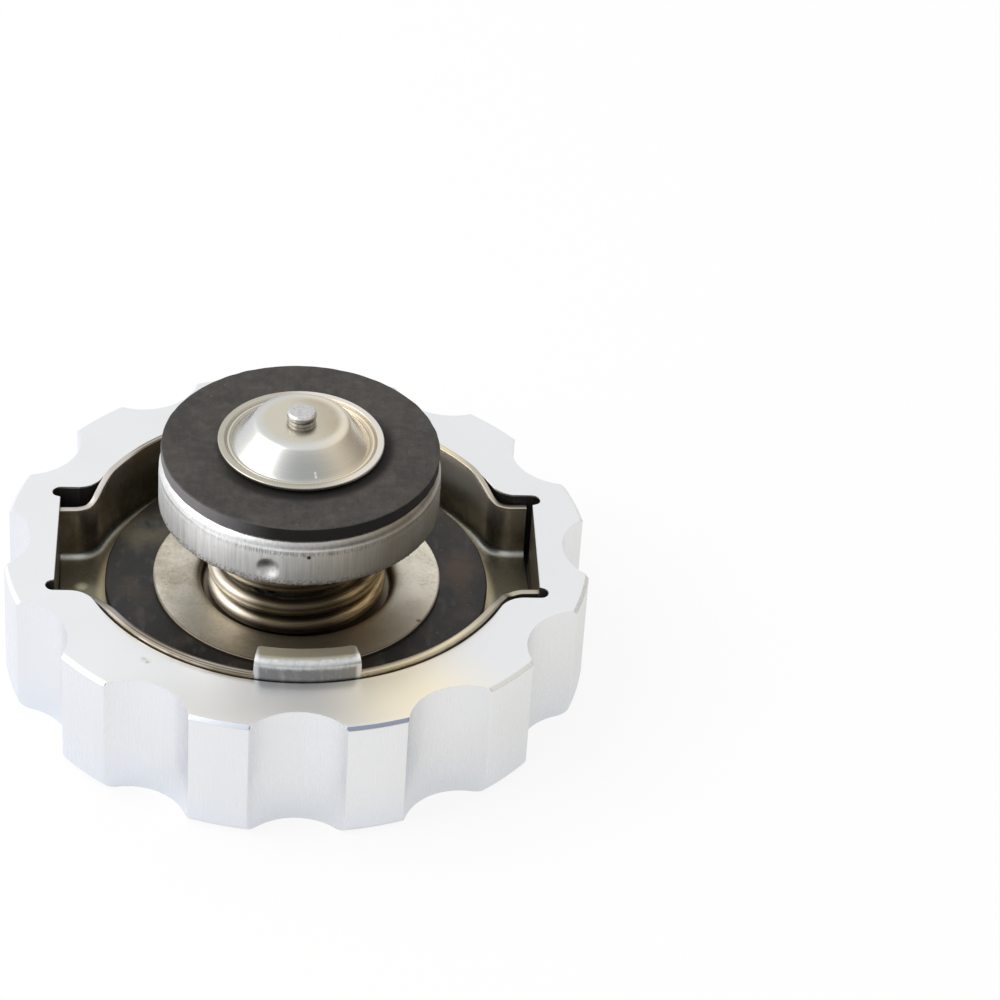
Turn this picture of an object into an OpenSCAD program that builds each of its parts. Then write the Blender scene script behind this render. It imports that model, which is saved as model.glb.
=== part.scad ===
// Radiator cap: a bayonet pressure cap under a scalloped billet cover.
// It lies on its closed face with the valve up. The origin is the centre of the closed face,
// +Z is the way the valve points, +X runs through an ear, and the cam tabs are on the Y axis.

/* [Cover] */
// Outside diameter over the lobes
cover_d = 86; // [80:0.5:100]
// Height of the cover
cover_h = 19.5; // [18.5:0.5:24]
// Rounding of the closed face's edge
cover_edge_r = 1.6; // [0.6:0.1:2.5]
// Bevel of the open rim
cover_bevel = 0.5; // [0.2:0.1:1]
// Number of finger scallops
scallop_count = 12; // [8:1:14]
// Radius of each scallop
scallop_r = 8.5; // [7:0.5:9]
// Depth of each scallop at its middle
scallop_depth = 4.1; // [2:0.1:4.3]
// Thickness of the closed end
cover_floor = 8.3; // [6:0.1:9]
// Diameter of the pocket for the shell
pocket_d = 65.8; // [65.4:0.2:66.4]
// Width of the two slots for the ears
slot_w = 24.8; // [24.4:0.2:25.6]
// Distance from the axis to the end wall of a slot
slot_reach = 35.4; // [35.2:0.1:36]
// Rounding where a slot opens into the pocket
slot_corner_r = 4; // [2:0.5:5]
// Radius of the tool relief in each slot corner
relief_r = 1.2; // [0.8:0.1:1.4]
// Bevel around the mouth of the pocket
pocket_bevel = 0.25; // [0.1:0.05:0.4]
// Diameter of the recess for the rivet's lower head
rivet_recess_d = 14; // [12.5:0.5:18]
// Depth of that recess
rivet_recess_depth = 1.8; // [1.5:0.1:3]

/* [Shell] */
// Thickness of the shell's sheet
shell_sheet = 1; // [0.8:0.05:1.1]
// Inside diameter of the shell's wall
shell_bore_d = 62.8; // [62:0.1:63.2]
// Height of the shell's round rim over the cover's face
rim_proud = 0.8; // [0.2:0.1:1.2]
// How far the rim drops from the round wall to the ears
ear_drop = 2.3; // [1:0.1:3]
// Distance from the axis, along X, at which the rim starts to drop
drop_start = 26.4; // [24:0.2:27]
// Distance from the axis, along X, at which the rim has dropped
drop_end = 30.6; // [29:0.2:32]
// Inside bend radius between the floor and the wall
floor_bend_r = 1.2; // [0.6:0.1:1.6]
// Inside width of an ear
ear_w = 19.6; // [18:0.2:20]
// Distance from the axis to the open end of an ear
ear_reach = 34.7; // [33.6:0.1:34.9]
// Inside rounding where an ear leaves the round wall
ear_corner_r = 4; // [3:0.25:4.5]
// Turn of the shell in its slots
shell_turn = 2.2; // [0:0.1:2.3]
// Arc that a cam tab spans
tab_arc = 27; // [22:0.2:30]
// Height of a cam tab over the cover's face
tab_rise = 3.4; // [2.8:0.1:4]
// Distance from the axis to a tab's inner edge
tab_inner_r = 29.2; // [28.8:0.1:29.6]
// Inside bend radius of a tab
tab_bend_r = 0.4; // [0.2:0.1:0.8]
// Rounding of a tab's free corners
tab_corner_r = 0.5; // [0.3:0.1:1.2]

/* [Rivet] */
// Diameter of the rivet's shank
rivet_d = 5; // [4:0.25:6]
// Diameter of the lower head
rivet_foot_d = 11; // [9:0.5:12]
// Thickness of the lower head
rivet_foot_h = 1.2; // [0.8:0.1:1.4]
// Diameter of the upper head
rivet_head_d = 9; // [8:0.5:11]
// Thickness of the upper head
rivet_head_h = 1; // [0.6:0.1:1.4]
// Diameter of the collar that the carrier swivels on
rivet_collar_d = 10; // [8:0.5:14]
// Height of that collar
rivet_collar_h = 1.2; // [0.8:0.1:1.4]

/* [Neck seal] */
// Thickness of the diaphragm spring
diaphragm_t = 0.4; // [0.3:0.05:0.5]
// Outside diameter of the diaphragm spring
diaphragm_d = 54; // [50:0.5:56]
// Diameter of its flat hub
diaphragm_hub_d = 30; // [29.5:0.5:32]
// Rise of its outer ring over the hub
diaphragm_rise = 1.6; // [1.3:0.05:1.8]
// Width of the cone between the hub and the outer ring
diaphragm_cone_w = 3; // [2:0.5:5]
// Outside diameter of the neck gasket
gasket_d = 56.4; // [54:0.2:57.4]
// Hole of the neck gasket
gasket_bore_d = 30.2; // [29.8:0.2:33]
// Thickness of the neck gasket
gasket_t = 1.6; // [1.4:0.1:2]
// Rounding of the gasket's edges
gasket_edge_r = 0.25; // [0.1:0.05:0.4]

/* [Spring carrier] */
// Thickness of the seat disc
seat_t = 0.6; // [0.5:0.05:0.7]
// Outside diameter of the seat disc
seat_d = 42.3; // [40:0.1:44]
// Inside diameter of the well for the spring
well_d = 28; // [27.4:0.2:28.2]
// Inside bend radius of the well
well_bend_r = 0.5; // [0.3:0.1:0.6]
// Thickness of the bell's sheet
bell_sheet = 0.8; // [0.6:0.05:0.9]
// Outside diameter of the bell
bell_d = 19.6; // [19.2:0.1:20.2]
// Height of the bell
bell_h = 16.1; // [14.5:0.1:16.4]
// Diameter of the bell's mouth
bell_mouth_d = 15.2; // [15:0.1:15.8]
// Inside bend radius of the bell
bell_bend_r = 0.6; // [0.4:0.1:0.8]
// Number of drain windows in the bell's wall
bell_window_count = 3; // [2:1:4]
// Diameter of the drain windows
bell_window_d = 5; // [3:0.5:6]
// Height of the windows over the bell's base
bell_window_z = 7; // [5:0.5:9]

/* [Main spring] */
// Diameter of the spring's wire
spring_wire_d = 2.6; // [2:0.05:2.7]
// Outside diameter of the spring
spring_d = 26.2; // [25.6:0.1:26.6]
// Number of turns, with one closed turn at each end
spring_turns = 5.5; // [4.5:0.25:5.75]
// Bearing at which the spring's wire starts
spring_start = 119; // [0:1:359]

/* [Pressure valve] */
// Outside diameter of the drum
drum_d = 40.8; // [40:0.1:41.6]
// Height of the drum
drum_h = 7.6; // [7:0.1:8.4]
// Thickness of the drum's sheet
drum_sheet = 1; // [0.8:0.05:1.1]
// Outside radius of the drum's shoulder
drum_shoulder_r = 2; // [1.4:0.1:2.4]
// Height of the drum's flat top over the cover's face
drum_top_over_face = 15.3; // [15:0.1:16]
// Bore of the collar that holds the washer
collar_bore_d = 14.4; // [14:0.1:15]
// Reach of the collar's rolled lip
collar_lip = 0.8; // [0.5:0.1:1]
// Thickness of the collar's rolled lip
collar_lip_t = 0.5; // [0.3:0.05:0.6]
// Number of stake dimples around the drum
dimple_count = 3; // [2:1:6]
// Bearing of the first dimple
dimple_bearing = 257; // [0:1:359]
// Diameter of a dimple on the outside
dimple_d = 3; // [2.4:0.1:3.2]
// Depth of a dimple
dimple_depth = 0.8; // [0.5:0.05:0.9]
// Height of the dimples over the drum's lower edge
dimple_z = 2.5; // [2.2:0.1:2.7]
// How far the rubber washer's edge lies inside the drum's
washer_inset = 0.3; // [0.1:0.05:0.8]
// Thickness of the rubber washer
washer_t = 2.2; // [1.8:0.1:2.6]
// Rounding of the washer's edges
washer_edge_r = 0.2; // [0.1:0.05:0.4]
// Thickness of the valve plate
plate_t = 0.8; // [0.6:0.05:0.9]
// Depth of the valve plate's rim
plate_rim_h = 2; // [1.4:0.1:2.1]
// Inside bend radius of the valve plate's rim
plate_bend_r = 0.4; // [0.2:0.1:0.5]
// Number of prongs
prong_count = 3; // [2:1:4]
// Arc that a prong spans
prong_arc = 40; // [30:1:50]
// Outside diameter over the prongs
prong_d = 14.4; // [13.8:0.1:14.6]
// Thickness of a prong
prong_t = 0.8; // [0.6:0.05:0.9]
// Reach of a prong's hook
hook_reach = 1.4; // [1:0.1:1.5]
// Thickness of a prong's hook
hook_t = 0.8; // [0.6:0.05:1]
// Diameter of the flow holes in the plate
flow_hole_d = 2.6; // [2:0.1:2.8]
// Pitch circle of the flow holes
flow_circle_d = 10.2; // [9.8:0.1:10.4]
// Width of the window that each prong is cut from
prong_window_w = 2.4; // [1.5:0.1:2.6]

/* [Vacuum valve] */
// Thickness of the dish's sheet
dish_sheet = 0.6; // [0.5:0.05:0.7]
// Outside diameter of the dish
dish_d = 24; // [23.6:0.1:25.6]
// Diameter of the sealing groove
groove_d = 20.4; // [20.2:0.1:21]
// Height of the dish from the washer to its flat crown
dish_h = 4.4; // [4.2:0.1:5.4]
// Slope of the dish's cone
dish_slope = 50; // [45:1:56]
// Rise of the beaded rim over the groove
bead_rise = 0.5; // [0.3:0.05:0.55]
// Outside bend radius of the crown
crown_bend_r = 1.2; // [0.9:0.1:1.6]
// Inside bend radius of the groove
groove_bend_r = 0.4; // [0.3:0.05:0.5]
// Diameter of the stem
stem_d = 3; // [2.6:0.1:3.2]
// Diameter of the stem's riveted end
stem_head_d = 4.26; // [3.8:0.02:4.6]
// Height of the stem's riveted end
stem_head_h = 1.65; // [1.2:0.05:1.8]
// Bevel of the riveted end
stem_bevel = 0.25; // [0.1:0.05:0.4]
// Height of the waist under the riveted end
stem_waist_h = 0.6; // [0.2:0.05:0.7]
// Diameter of the shoulder under the dish
stem_shoulder_d = 5.2; // [4.6:0.1:6]
// Height of that shoulder
stem_shoulder_h = 1.2; // [0.8:0.1:1.6]
// Diameter of the wire of the vacuum spring
vacuum_wire_d = 0.5; // [0.4:0.02:0.55]
// Outside diameter of the vacuum spring
vacuum_spring_d = 6.5; // [6:0.1:7]
// Number of turns of the vacuum spring
vacuum_turns = 5; // [4:0.5:5.5]
// Set length of the vacuum spring
vacuum_spring_l = 5.7; // [5.2:0.1:6]
// Diameter of the retainer on the stem
retainer_d = 8.4; // [8:0.1:10]
// Thickness of the retainer
retainer_t = 0.8; // [0.6:0.05:0.9]
// Diameter of the stem's peened foot
stem_foot_d = 4.2; // [3.8:0.1:5]
// Height of the stem's peened foot
stem_foot_h = 0.6; // [0.4:0.05:0.8]

/* [Fits] */
// Radial running fit of the carrier on the rivet and of the stem in its guide
running_fit = 0.05; // [0.02:0.01:0.1]
// Radial clearance of pieces that are seated in one another
seated_fit = 0.02; // [0.01:0.01:0.05]
// Gap between the valve plate's rim and the drum
plate_gap = 0.2; // [0.1:0.05:0.3]
// Gap between the prongs' hooks and the bell's lip
hook_gap = 0.2; // [0.1:0.05:0.4]
// Gap between neighbouring turns at a spring's closed ends
closed_turn_gap = 0.08; // [0.05:0.01:0.15]

/* [Hidden] */
$fn = 96;
cover_r = cover_d / 2;
pocket_r = pocket_d / 2;
shell_ri = shell_bore_d / 2;
shell_ro = shell_ri + shell_sheet;
shell_floor_top = cover_floor + shell_sheet;
shell_rim_z = cover_h + rim_proud;
ear_rim_z = shell_rim_z - ear_drop;
tab_top = cover_h + tab_rise;
rivet_r = rivet_d / 2;
hub_top = shell_floor_top + diaphragm_t;
gasket_z = hub_top + diaphragm_rise;
seat_flange_z = gasket_z + gasket_t;
seat_floor_z = hub_top + rivet_collar_h;
seat_floor_top = seat_floor_z + seat_t;
well_r = well_d / 2;
bell_floor_top = seat_floor_top + bell_sheet;
bell_ro = bell_d / 2;
bell_ri = bell_ro - bell_sheet;
bell_top = seat_floor_top + bell_h;
bell_lip_z = bell_top - bell_sheet;
drum_r = drum_d / 2;
drum_bore_r = drum_r - drum_sheet;
drum_top = cover_h + drum_top_over_face;
drum_z = drum_top - drum_h;
washer_top = drum_top + washer_t;
washer_r = drum_r - washer_inset;
collar_ri = collar_bore_d / 2;
collar_ro = collar_ri + drum_sheet;
plate_top = drum_top - drum_sheet;
plate_z = plate_top - plate_t;
plate_r = drum_bore_r - plate_gap;
prong_ro = prong_d / 2;
hook_z = bell_lip_z - hook_gap - hook_t;
crown_z = washer_top + dish_h;
stem_r = stem_d / 2;
retainer_top = plate_z - vacuum_spring_l;
retainer_z = retainer_top - retainer_t;
stem_z = retainer_z - stem_foot_h;
cut = 0.1;
corner_bite = 0.02;
full_turn = 360;
half_turn = full_turn / 2;
arc_steps = 10;
small_fn = 48;
tab_bearings = [90, 270];
helix_steps = 28;
helix_sides = 10;
ground_share = 0.25;

// Distance along X to the centre of the rounded corner between a round wall and an ear's side
function corner_x(r, half_w, corner_r) = sqrt(pow(r + corner_r, 2) - pow(half_w + corner_r, 2));

// Points of an arc about a centre, between two bearings
function arc(at, r, from, to) = [
    for (i = [0 : arc_steps]) let (a = from + (to - from) * i / arc_steps) at + r * [cos(a), sin(a)]
];

// Flat wedge between two bearings, wide enough to cut a ring of radius r
module wedge(r, from, to) {
    mid = (from + to) / 2;
    far = 2 * r;
    polygon([
        [0, 0],
        far * [cos(from), sin(from)],
        far * [cos(mid), sin(mid)],
        far * [cos(to), sin(to)]
    ]);
}

// Part of a flat ring between two bearings: a bend of a sheet, seen in section
module bend(at, r_in, r_out, from, to) {
    translate(at) intersection() {
        difference() {
            circle(r_out);
            circle(r_in);
        }
        wedge(r_out, from, to);
    }
}

// Rectangle with rounded corners, from its lower left corner
module rounded(at, size, r) {
    translate(at) {
        translate([r, 0]) square([size.x - 2 * r, size.y]);
        translate([0, r]) square([size.x, size.y - 2 * r]);
        for (x = [r, size.x - r], y = [r, size.y - r]) translate([x, y]) circle(r, $fn = small_fn);
    }
}

// Fill of the corner between a round wall and an ear's side, in the first quadrant
module corner_fill(r, half_w, corner_r) {
    x = corner_x(r, half_w, corner_r);
    y = half_w + corner_r;
    share = r / (r + corner_r);
    difference() {
        polygon([[0, 0], [x, 0], [x, y], share * [x, y]]);
        translate([x, y]) circle(corner_r);
    }
}

// Round outline with an ear on each side, along X
module eared(r, half_w, reach, corner_r) {
    circle(r);
    translate([-reach, -half_w]) square([2 * reach, 2 * half_w]);
    for (mx = [0, 1], my = [0, 1]) mirror([mx, 0]) mirror([0, my]) corner_fill(r, half_w, corner_r);
}

// Helix of round wire between two levels, with closed turns and ground ends
module coil(z0, z1, mean_r, wire_r, turns) {
    closed = 2 * wire_r + closed_turn_gap;
    ground = ground_share * 2 * wire_r;
    start = z0 + ground;
    active = (z1 - z0 - 2 * ground - 2 * closed) / (turns - 2);
    steps = turns * helix_steps;
    function level(t) = start + closed * min(t, 1) + active * max(0, min(t - 1, turns - 2))
        + closed * max(0, t - turns + 1);
    points = [
        for (i = [0 : steps], j = [0 : helix_sides - 1])
            let (
                t = i / helix_steps,
                a = t * full_turn,
                b = j * full_turn / helix_sides,
                r = mean_r + wire_r * cos(b),
                z = level(t) + wire_r * sin(b)
            )
            [r * cos(a), r * sin(a), max(z0, min(z1, z))]
    ];
    faces = concat(
        [[for (j = [0 : helix_sides - 1]) j]],
        [
            for (i = [0 : steps - 1], j = [0 : helix_sides - 1])
                let (k = (j + 1) % helix_sides, a = i * helix_sides, b = a + helix_sides)
                each [[a + j, b + j, b + k], [a + j, b + k, a + k]]
        ],
        [[for (j = [helix_sides - 1 : -1 : 0]) steps * helix_sides + j]]
    );
    polyhedron(points, faces);
}

module billet_cover() {
    scallop_at = cover_r - scallop_depth + scallop_r;
    color("gainsboro") difference() {
        rotate_extrude() difference() {
            union() {
                translate([0, cover_edge_r]) square([cover_r, cover_h - cover_edge_r]);
                square([cover_r - cover_edge_r, cover_h]);
                translate([cover_r - cover_edge_r, cover_edge_r]) circle(cover_edge_r);
            }
            translate([-cover_r, 0]) square([cover_r, cover_h]);
            polygon([
                [cover_r - cover_bevel, cover_h + cut],
                [cover_r - cover_bevel, cover_h],
                [cover_r, cover_h - cover_bevel],
                [cover_r + cut, cover_h - cover_bevel],
                [cover_r + cut, cover_h + cut]
            ]);
        }
        for (i = [0 : scallop_count - 1]) rotate(i * full_turn / scallop_count)
            translate([scallop_at, 0, -cut]) cylinder(r = scallop_r, h = cover_h + 2 * cut);
        translate([0, 0, cover_floor]) linear_extrude(cover_h) pocket_outline();
        translate([0, 0, cover_h - pocket_bevel])
            cylinder(r1 = pocket_r, r2 = pocket_r + pocket_bevel + cut, h = pocket_bevel + cut);
        translate([0, 0, cover_floor - rivet_recess_depth])
            cylinder(d = rivet_recess_d, h = rivet_recess_depth + cut);
    }
}

module pocket_outline() {
    eared(pocket_r, slot_w / 2, slot_reach, slot_corner_r);
    for (x = [-slot_reach, slot_reach], y = [-1, 1])
        translate([x, y * (slot_w / 2 - relief_r)]) circle(relief_r);
}

// Profile from the axis outwards, with its lower and upper outer corners rounded
module dished_profile(reach, z, top, low_r, high_r) {
    translate([0, z]) square([reach - low_r, low_r]);
    translate([0, z + low_r]) square([reach, top - high_r - z - low_r]);
    translate([0, top - high_r]) square([reach - high_r, high_r]);
    translate([reach - low_r, z + low_r]) circle(low_r);
    translate([reach - high_r, top - high_r]) circle(high_r);
}

// Solid of a pan: a round dish, given as its profile, and a rounded channel across it for the ears.
// A flared post cuts each corner between dish and channel, and bites in by corner_bite to cross both walls.
module pan(r, half_w, reach, corner_r, z, top, round_r) {
    y = half_w + corner_r - corner_bite;
    x = sqrt(pow(r + corner_r - corner_bite, 2) - y * y);
    share = r / norm([x, y]);
    difference() {
        union() {
            rotate_extrude() intersection() {
                children();
                square(cover_d);
            }
            translate([-reach, 0, 0]) rotate([90, 0, 90]) linear_extrude(2 * reach) for (side = [0, 1])
                mirror([side, 0]) {
                    translate([0, z]) square([half_w - round_r, round_r]);
                    translate([0, z + round_r]) square([half_w, top - z - round_r]);
                    translate([half_w - round_r, z + round_r]) circle(round_r);
                }
            for (mx = [0, 1], my = [0, 1]) mirror([mx, 0]) mirror([0, my])
                translate([0, 0, z]) linear_extrude(top - z) polygon([[0, 0], [x, half_w], share * [x, y]]);
        }
        for (mx = [0, 1], my = [0, 1]) mirror([mx, 0]) mirror([0, my])
            translate([x, y, 0]) rotate_extrude() difference() {
                translate([0, z - cut]) square([corner_r + round_r, top - z + 2 * cut]);
                translate([corner_r, z + round_r]) square([round_r + cut, top - z]);
                translate([corner_r + round_r, z + round_r]) circle(round_r);
            }
    }
}

// Height of the rim along X where it eases down from the round wall to an ear, over a share of the way
function rim_drop(share) = [
    drop_start + (drop_end - drop_start) * share,
    ear_rim_z + ear_drop * (1 + cos(half_turn * share)) / 2
];

// What is cut away over the shell's rim: all but the two tabs, the drop to the ears and the tabs' free corners
module crown_cut() {
    edge_bearing = tab_arc / 2;
    for (side = [0, 1]) mirror([side, 0]) translate([0, cover_r, 0]) rotate([90, 0, 0])
        linear_extrude(cover_d) polygon(concat(
            [for (i = [0 : arc_steps]) rim_drop(i / arc_steps)],
            [[cover_r, ear_rim_z], [cover_r, tab_top], [drop_start, tab_top]]
        ));
    translate([0, 0, shell_rim_z]) linear_extrude(tab_top) difference() {
        circle(cover_d);
        for (side = tab_bearings) wedge(cover_d, side - edge_bearing, side + edge_bearing);
    }
    for (side = tab_bearings, end = [0, 1]) rotate(side) mirror([0, end]) rotate(edge_bearing)
        translate([tab_inner_r, 0, shell_rim_z]) linear_extrude(tab_top) difference() {
            translate([-cut, -tab_corner_r]) square([tab_corner_r + cut, tab_corner_r + cut]);
            translate([tab_corner_r, -tab_corner_r]) circle(tab_corner_r);
        }
}

module cap_shell() {
    half_w = ear_w / 2;
    bend_ro = floor_bend_r + shell_sheet;
    color("darkgray") rotate(shell_turn) difference() {
        pan(shell_ro, half_w + shell_sheet, ear_reach, ear_corner_r - shell_sheet,
            cover_floor, shell_rim_z, bend_ro)
            dished_profile(shell_ro, cover_floor, tab_top, bend_ro, tab_bend_r + shell_sheet);
        pan(shell_ri, half_w, ear_reach + cut, ear_corner_r,
            shell_floor_top, shell_rim_z + cut, floor_bend_r) {
            dished_profile(shell_ri, shell_floor_top, tab_top - shell_sheet, floor_bend_r, tab_bend_r);
            translate([0, shell_rim_z]) square([tab_inner_r, tab_rise + shell_sheet]);
        }
        crown_cut();
        translate([0, 0, cover_floor - cut])
            cylinder(r = rivet_r + seated_fit, h = shell_sheet + 2 * cut);
    }
}

module centre_rivet() {
    color("silver") {
        translate([0, 0, cover_floor - rivet_foot_h]) cylinder(d = rivet_foot_d, h = rivet_foot_h);
        translate([0, 0, cover_floor]) cylinder(r = rivet_r, h = bell_floor_top - cover_floor);
        translate([0, 0, hub_top]) cylinder(d = rivet_collar_d, h = rivet_collar_h);
        translate([0, 0, bell_floor_top]) cylinder(d = rivet_head_d, h = rivet_head_h);
    }
}

module diaphragm_spring() {
    hub_r = diaphragm_hub_d / 2;
    hole_r = rivet_r + running_fit;
    rim_r = diaphragm_d / 2;
    ring_r = hub_r + diaphragm_cone_w;
    color("lightgray") rotate_extrude() polygon([
        [hole_r, shell_floor_top],
        [hub_r, shell_floor_top],
        [ring_r, shell_floor_top + diaphragm_rise],
        [rim_r, shell_floor_top + diaphragm_rise],
        [rim_r, gasket_z],
        [ring_r, gasket_z],
        [hub_r, hub_top],
        [hole_r, hub_top]
    ]);
}

module neck_gasket() {
    width = (gasket_d - gasket_bore_d) / 2;
    color("dimgray") rotate_extrude()
        rounded([gasket_bore_d / 2, gasket_z], [width, gasket_t], gasket_edge_r);
}

module spring_seat() {
    lip_r = well_r + seat_t + well_bend_r;
    floor_r = well_r - well_bend_r;
    wall_z = seat_floor_top + well_bend_r;
    wall_top = seat_flange_z - well_bend_r;
    color("silver") rotate_extrude() {
        translate([rivet_r + running_fit, seat_floor_z]) square([floor_r - rivet_r - running_fit, seat_t]);
        bend([floor_r, wall_z], well_bend_r, well_bend_r + seat_t, 270, 360);
        translate([well_r, wall_z]) square([seat_t, wall_top - wall_z]);
        bend([lip_r, wall_top], well_bend_r, well_bend_r + seat_t, 90, 180);
        translate([lip_r, seat_flange_z]) square([seat_d / 2 - lip_r, seat_t]);
    }
}

module spring_bell() {
    floor_r = bell_ri - bell_bend_r;
    wall_z = bell_floor_top + bell_bend_r;
    wall_top = bell_lip_z - bell_bend_r;
    mouth_r = bell_mouth_d / 2;
    color("silver") difference() {
        rotate_extrude() {
            translate([rivet_r + running_fit, seat_floor_top])
                square([floor_r - rivet_r - running_fit, bell_sheet]);
            bend([floor_r, wall_z], bell_bend_r, bell_bend_r + bell_sheet, 270, 360);
            translate([bell_ri, wall_z]) square([bell_sheet, wall_top - wall_z]);
            bend([floor_r, wall_top], bell_bend_r, bell_bend_r + bell_sheet, 0, 90);
            translate([mouth_r, bell_lip_z]) square([floor_r - mouth_r, bell_sheet]);
        }
        for (i = [0 : bell_window_count - 1]) rotate(i * full_turn / bell_window_count)
            translate([0, 0, seat_floor_top + bell_window_z]) rotate([0, 90, 0])
                cylinder(d = bell_window_d, h = bell_d);
    }
}

module main_spring() {
    wire_r = spring_wire_d / 2;
    color("tan") rotate(spring_start)
        coil(seat_floor_top, plate_z, spring_d / 2 - wire_r, wire_r, spring_turns);
}

// Balls that press the stake dimples, larger by the sheet for the bumps on the inside
module dimple_balls(sheet) {
    ball_r = (pow(dimple_d / 2, 2) + pow(dimple_depth, 2)) / (2 * dimple_depth);
    at = drum_r - dimple_depth + ball_r;
    for (i = [0 : dimple_count - 1]) rotate(dimple_bearing + i * full_turn / dimple_count)
        translate([at, 0, drum_z + dimple_z]) sphere(ball_r + sheet, $fn = small_fn);
}

module valve_drum() {
    shoulder_in = drum_shoulder_r - drum_sheet;
    shoulder = [drum_r - drum_shoulder_r, drum_top - drum_shoulder_r];
    color("lightgray") difference() {
        union() {
            rotate_extrude() {
                translate([drum_bore_r, drum_z]) square([drum_sheet, shoulder.y - drum_z]);
                bend(shoulder, shoulder_in, drum_shoulder_r, 0, 90);
                translate([collar_ri, plate_top]) square([shoulder.x - collar_ri, drum_sheet]);
                translate([collar_ri, plate_top])
                    square([drum_sheet, washer_top + collar_lip_t - plate_top]);
                translate([collar_ro, washer_top]) square([collar_lip, collar_lip_t]);
            }
            intersection() {
                dimple_balls(drum_sheet);
                translate([0, 0, drum_z]) cylinder(r = drum_bore_r + cut, h = drum_h);
            }
        }
        dimple_balls(0);
    }
}

module valve_plate() {
    rim_in = plate_r - plate_t;
    corner = [rim_in - plate_bend_r, plate_z - plate_bend_r];
    rim_z = plate_top - plate_rim_h;
    guide_r = stem_r + running_fit;
    prong_ri = prong_ro - prong_t;
    color("gray") {
        difference() {
            rotate_extrude() {
                translate([guide_r, plate_z]) square([corner.x - guide_r, plate_t]);
                bend(corner, plate_bend_r, plate_bend_r + plate_t, 0, 90);
                translate([rim_in, rim_z]) square([plate_t, corner.y - rim_z]);
            }
            for (i = [0 : prong_count - 1]) rotate((2 * i + 1) * full_turn / (2 * prong_count))
                translate([flow_circle_d / 2, 0, plate_z - cut])
                    cylinder(d = flow_hole_d, h = plate_t + 2 * cut);
            for (i = [0 : prong_count - 1]) rotate(i * full_turn / prong_count - prong_arc / 2)
                translate([0, 0, plate_z - cut]) rotate_extrude(angle = prong_arc)
                    translate([prong_ro, 0]) square([prong_window_w, plate_t + 2 * cut]);
        }
        for (i = [0 : prong_count - 1]) rotate(i * full_turn / prong_count - prong_arc / 2)
            rotate_extrude(angle = prong_arc) {
                translate([prong_ri, hook_z]) square([prong_t, plate_top - hook_z]);
                translate([prong_ri, hook_z]) square([prong_t + hook_reach, hook_t]);
            }
    }
}

module valve_washer() {
    bore_r = collar_ro + seated_fit;
    color("dimgray") rotate_extrude()
        rounded([bore_r, drum_top], [washer_r - bore_r, washer_t], washer_edge_r);
}

module vacuum_dish() {
    groove_r = groove_d / 2;
    groove_top = washer_top + dish_sheet;
    turn_r = crown_bend_r + groove_bend_r;
    cone_l = (crown_z - groove_top - turn_r * (1 - cos(dish_slope))) / sin(dish_slope);
    crown_r = groove_r - turn_r * sin(dish_slope) - cone_l * cos(dish_slope);
    crown = [crown_r, crown_z - crown_bend_r];
    groove = [groove_r, groove_top + groove_bend_r];
    bead_bend_r = groove_bend_r + dish_sheet;
    bead_turn = acos(1 - bead_rise / (groove_bend_r + bead_bend_r));
    bead = groove + (groove_bend_r + bead_bend_r) * [sin(bead_turn), -cos(bead_turn)];
    bead_top = bead.y + bead_bend_r;
    hole_r = stem_r + seated_fit;
    color("lightgray") rotate_extrude() polygon(concat(
        [[hole_r, crown_z]],
        arc(crown, crown_bend_r, 90, 90 - dish_slope),
        arc(groove, groove_bend_r, 270 - dish_slope, 270 + bead_turn),
        arc(bead, bead_bend_r, 90 + bead_turn, 90),
        [[dish_d / 2, bead_top], [dish_d / 2, bead_top - dish_sheet]],
        arc(bead, bead_bend_r - dish_sheet, 90, 90 + bead_turn),
        arc(groove, groove_bend_r + dish_sheet, 270 + bead_turn, 270 - dish_slope),
        arc(crown, crown_bend_r - dish_sheet, 90 - dish_slope, 90),
        [[hole_r, crown_z - dish_sheet]]
    ));
}

module vacuum_stem() {
    head_r = stem_head_d / 2;
    shoulder_top = crown_z - dish_sheet;
    head_top = crown_z + stem_head_h;
    color("silver") {
        translate([0, 0, stem_z]) cylinder(r = stem_r, h = crown_z - stem_z);
        translate([0, 0, stem_z]) cylinder(d = stem_foot_d, h = stem_foot_h);
        translate([0, 0, shoulder_top - stem_shoulder_h])
            cylinder(d = stem_shoulder_d, h = stem_shoulder_h);
        translate([0, 0, crown_z]) cylinder(r = head_r - stem_bevel, h = stem_waist_h);
        translate([0, 0, crown_z + stem_waist_h])
            cylinder(r = head_r, h = stem_head_h - stem_waist_h - stem_bevel);
        translate([0, 0, head_top - stem_bevel])
            cylinder(r1 = head_r, r2 = head_r - stem_bevel, h = stem_bevel);
    }
}

module vacuum_spring() {
    wire_r = vacuum_wire_d / 2;
    color("tan") coil(retainer_top, plate_z, vacuum_spring_d / 2 - wire_r, wire_r, vacuum_turns);
}

module spring_retainer() {
    color("silver") translate([0, 0, retainer_z]) difference() {
        cylinder(d = retainer_d, h = retainer_t);
        translate([0, 0, -cut]) cylinder(r = stem_r + seated_fit, h = retainer_t + 2 * cut);
    }
}

billet_cover();
cap_shell();
centre_rivet();
diaphragm_spring();
neck_gasket();
spring_seat();
spring_bell();
main_spring();
valve_drum();
valve_plate();
valve_washer();
vacuum_dish();
vacuum_stem();
vacuum_spring();
spring_retainer();
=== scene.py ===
"""Looks of a bayonet radiator cap under a scalloped billet cover, lying on its closed face with the valve up."""
import logging
import math
from dataclasses import dataclass
from enum import Enum
from functools import cache
from typing import Any, Callable, Optional, Sequence, Union

import bmesh
import bpy
import numpy as np
from mathutils import Matrix, Vector


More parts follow.
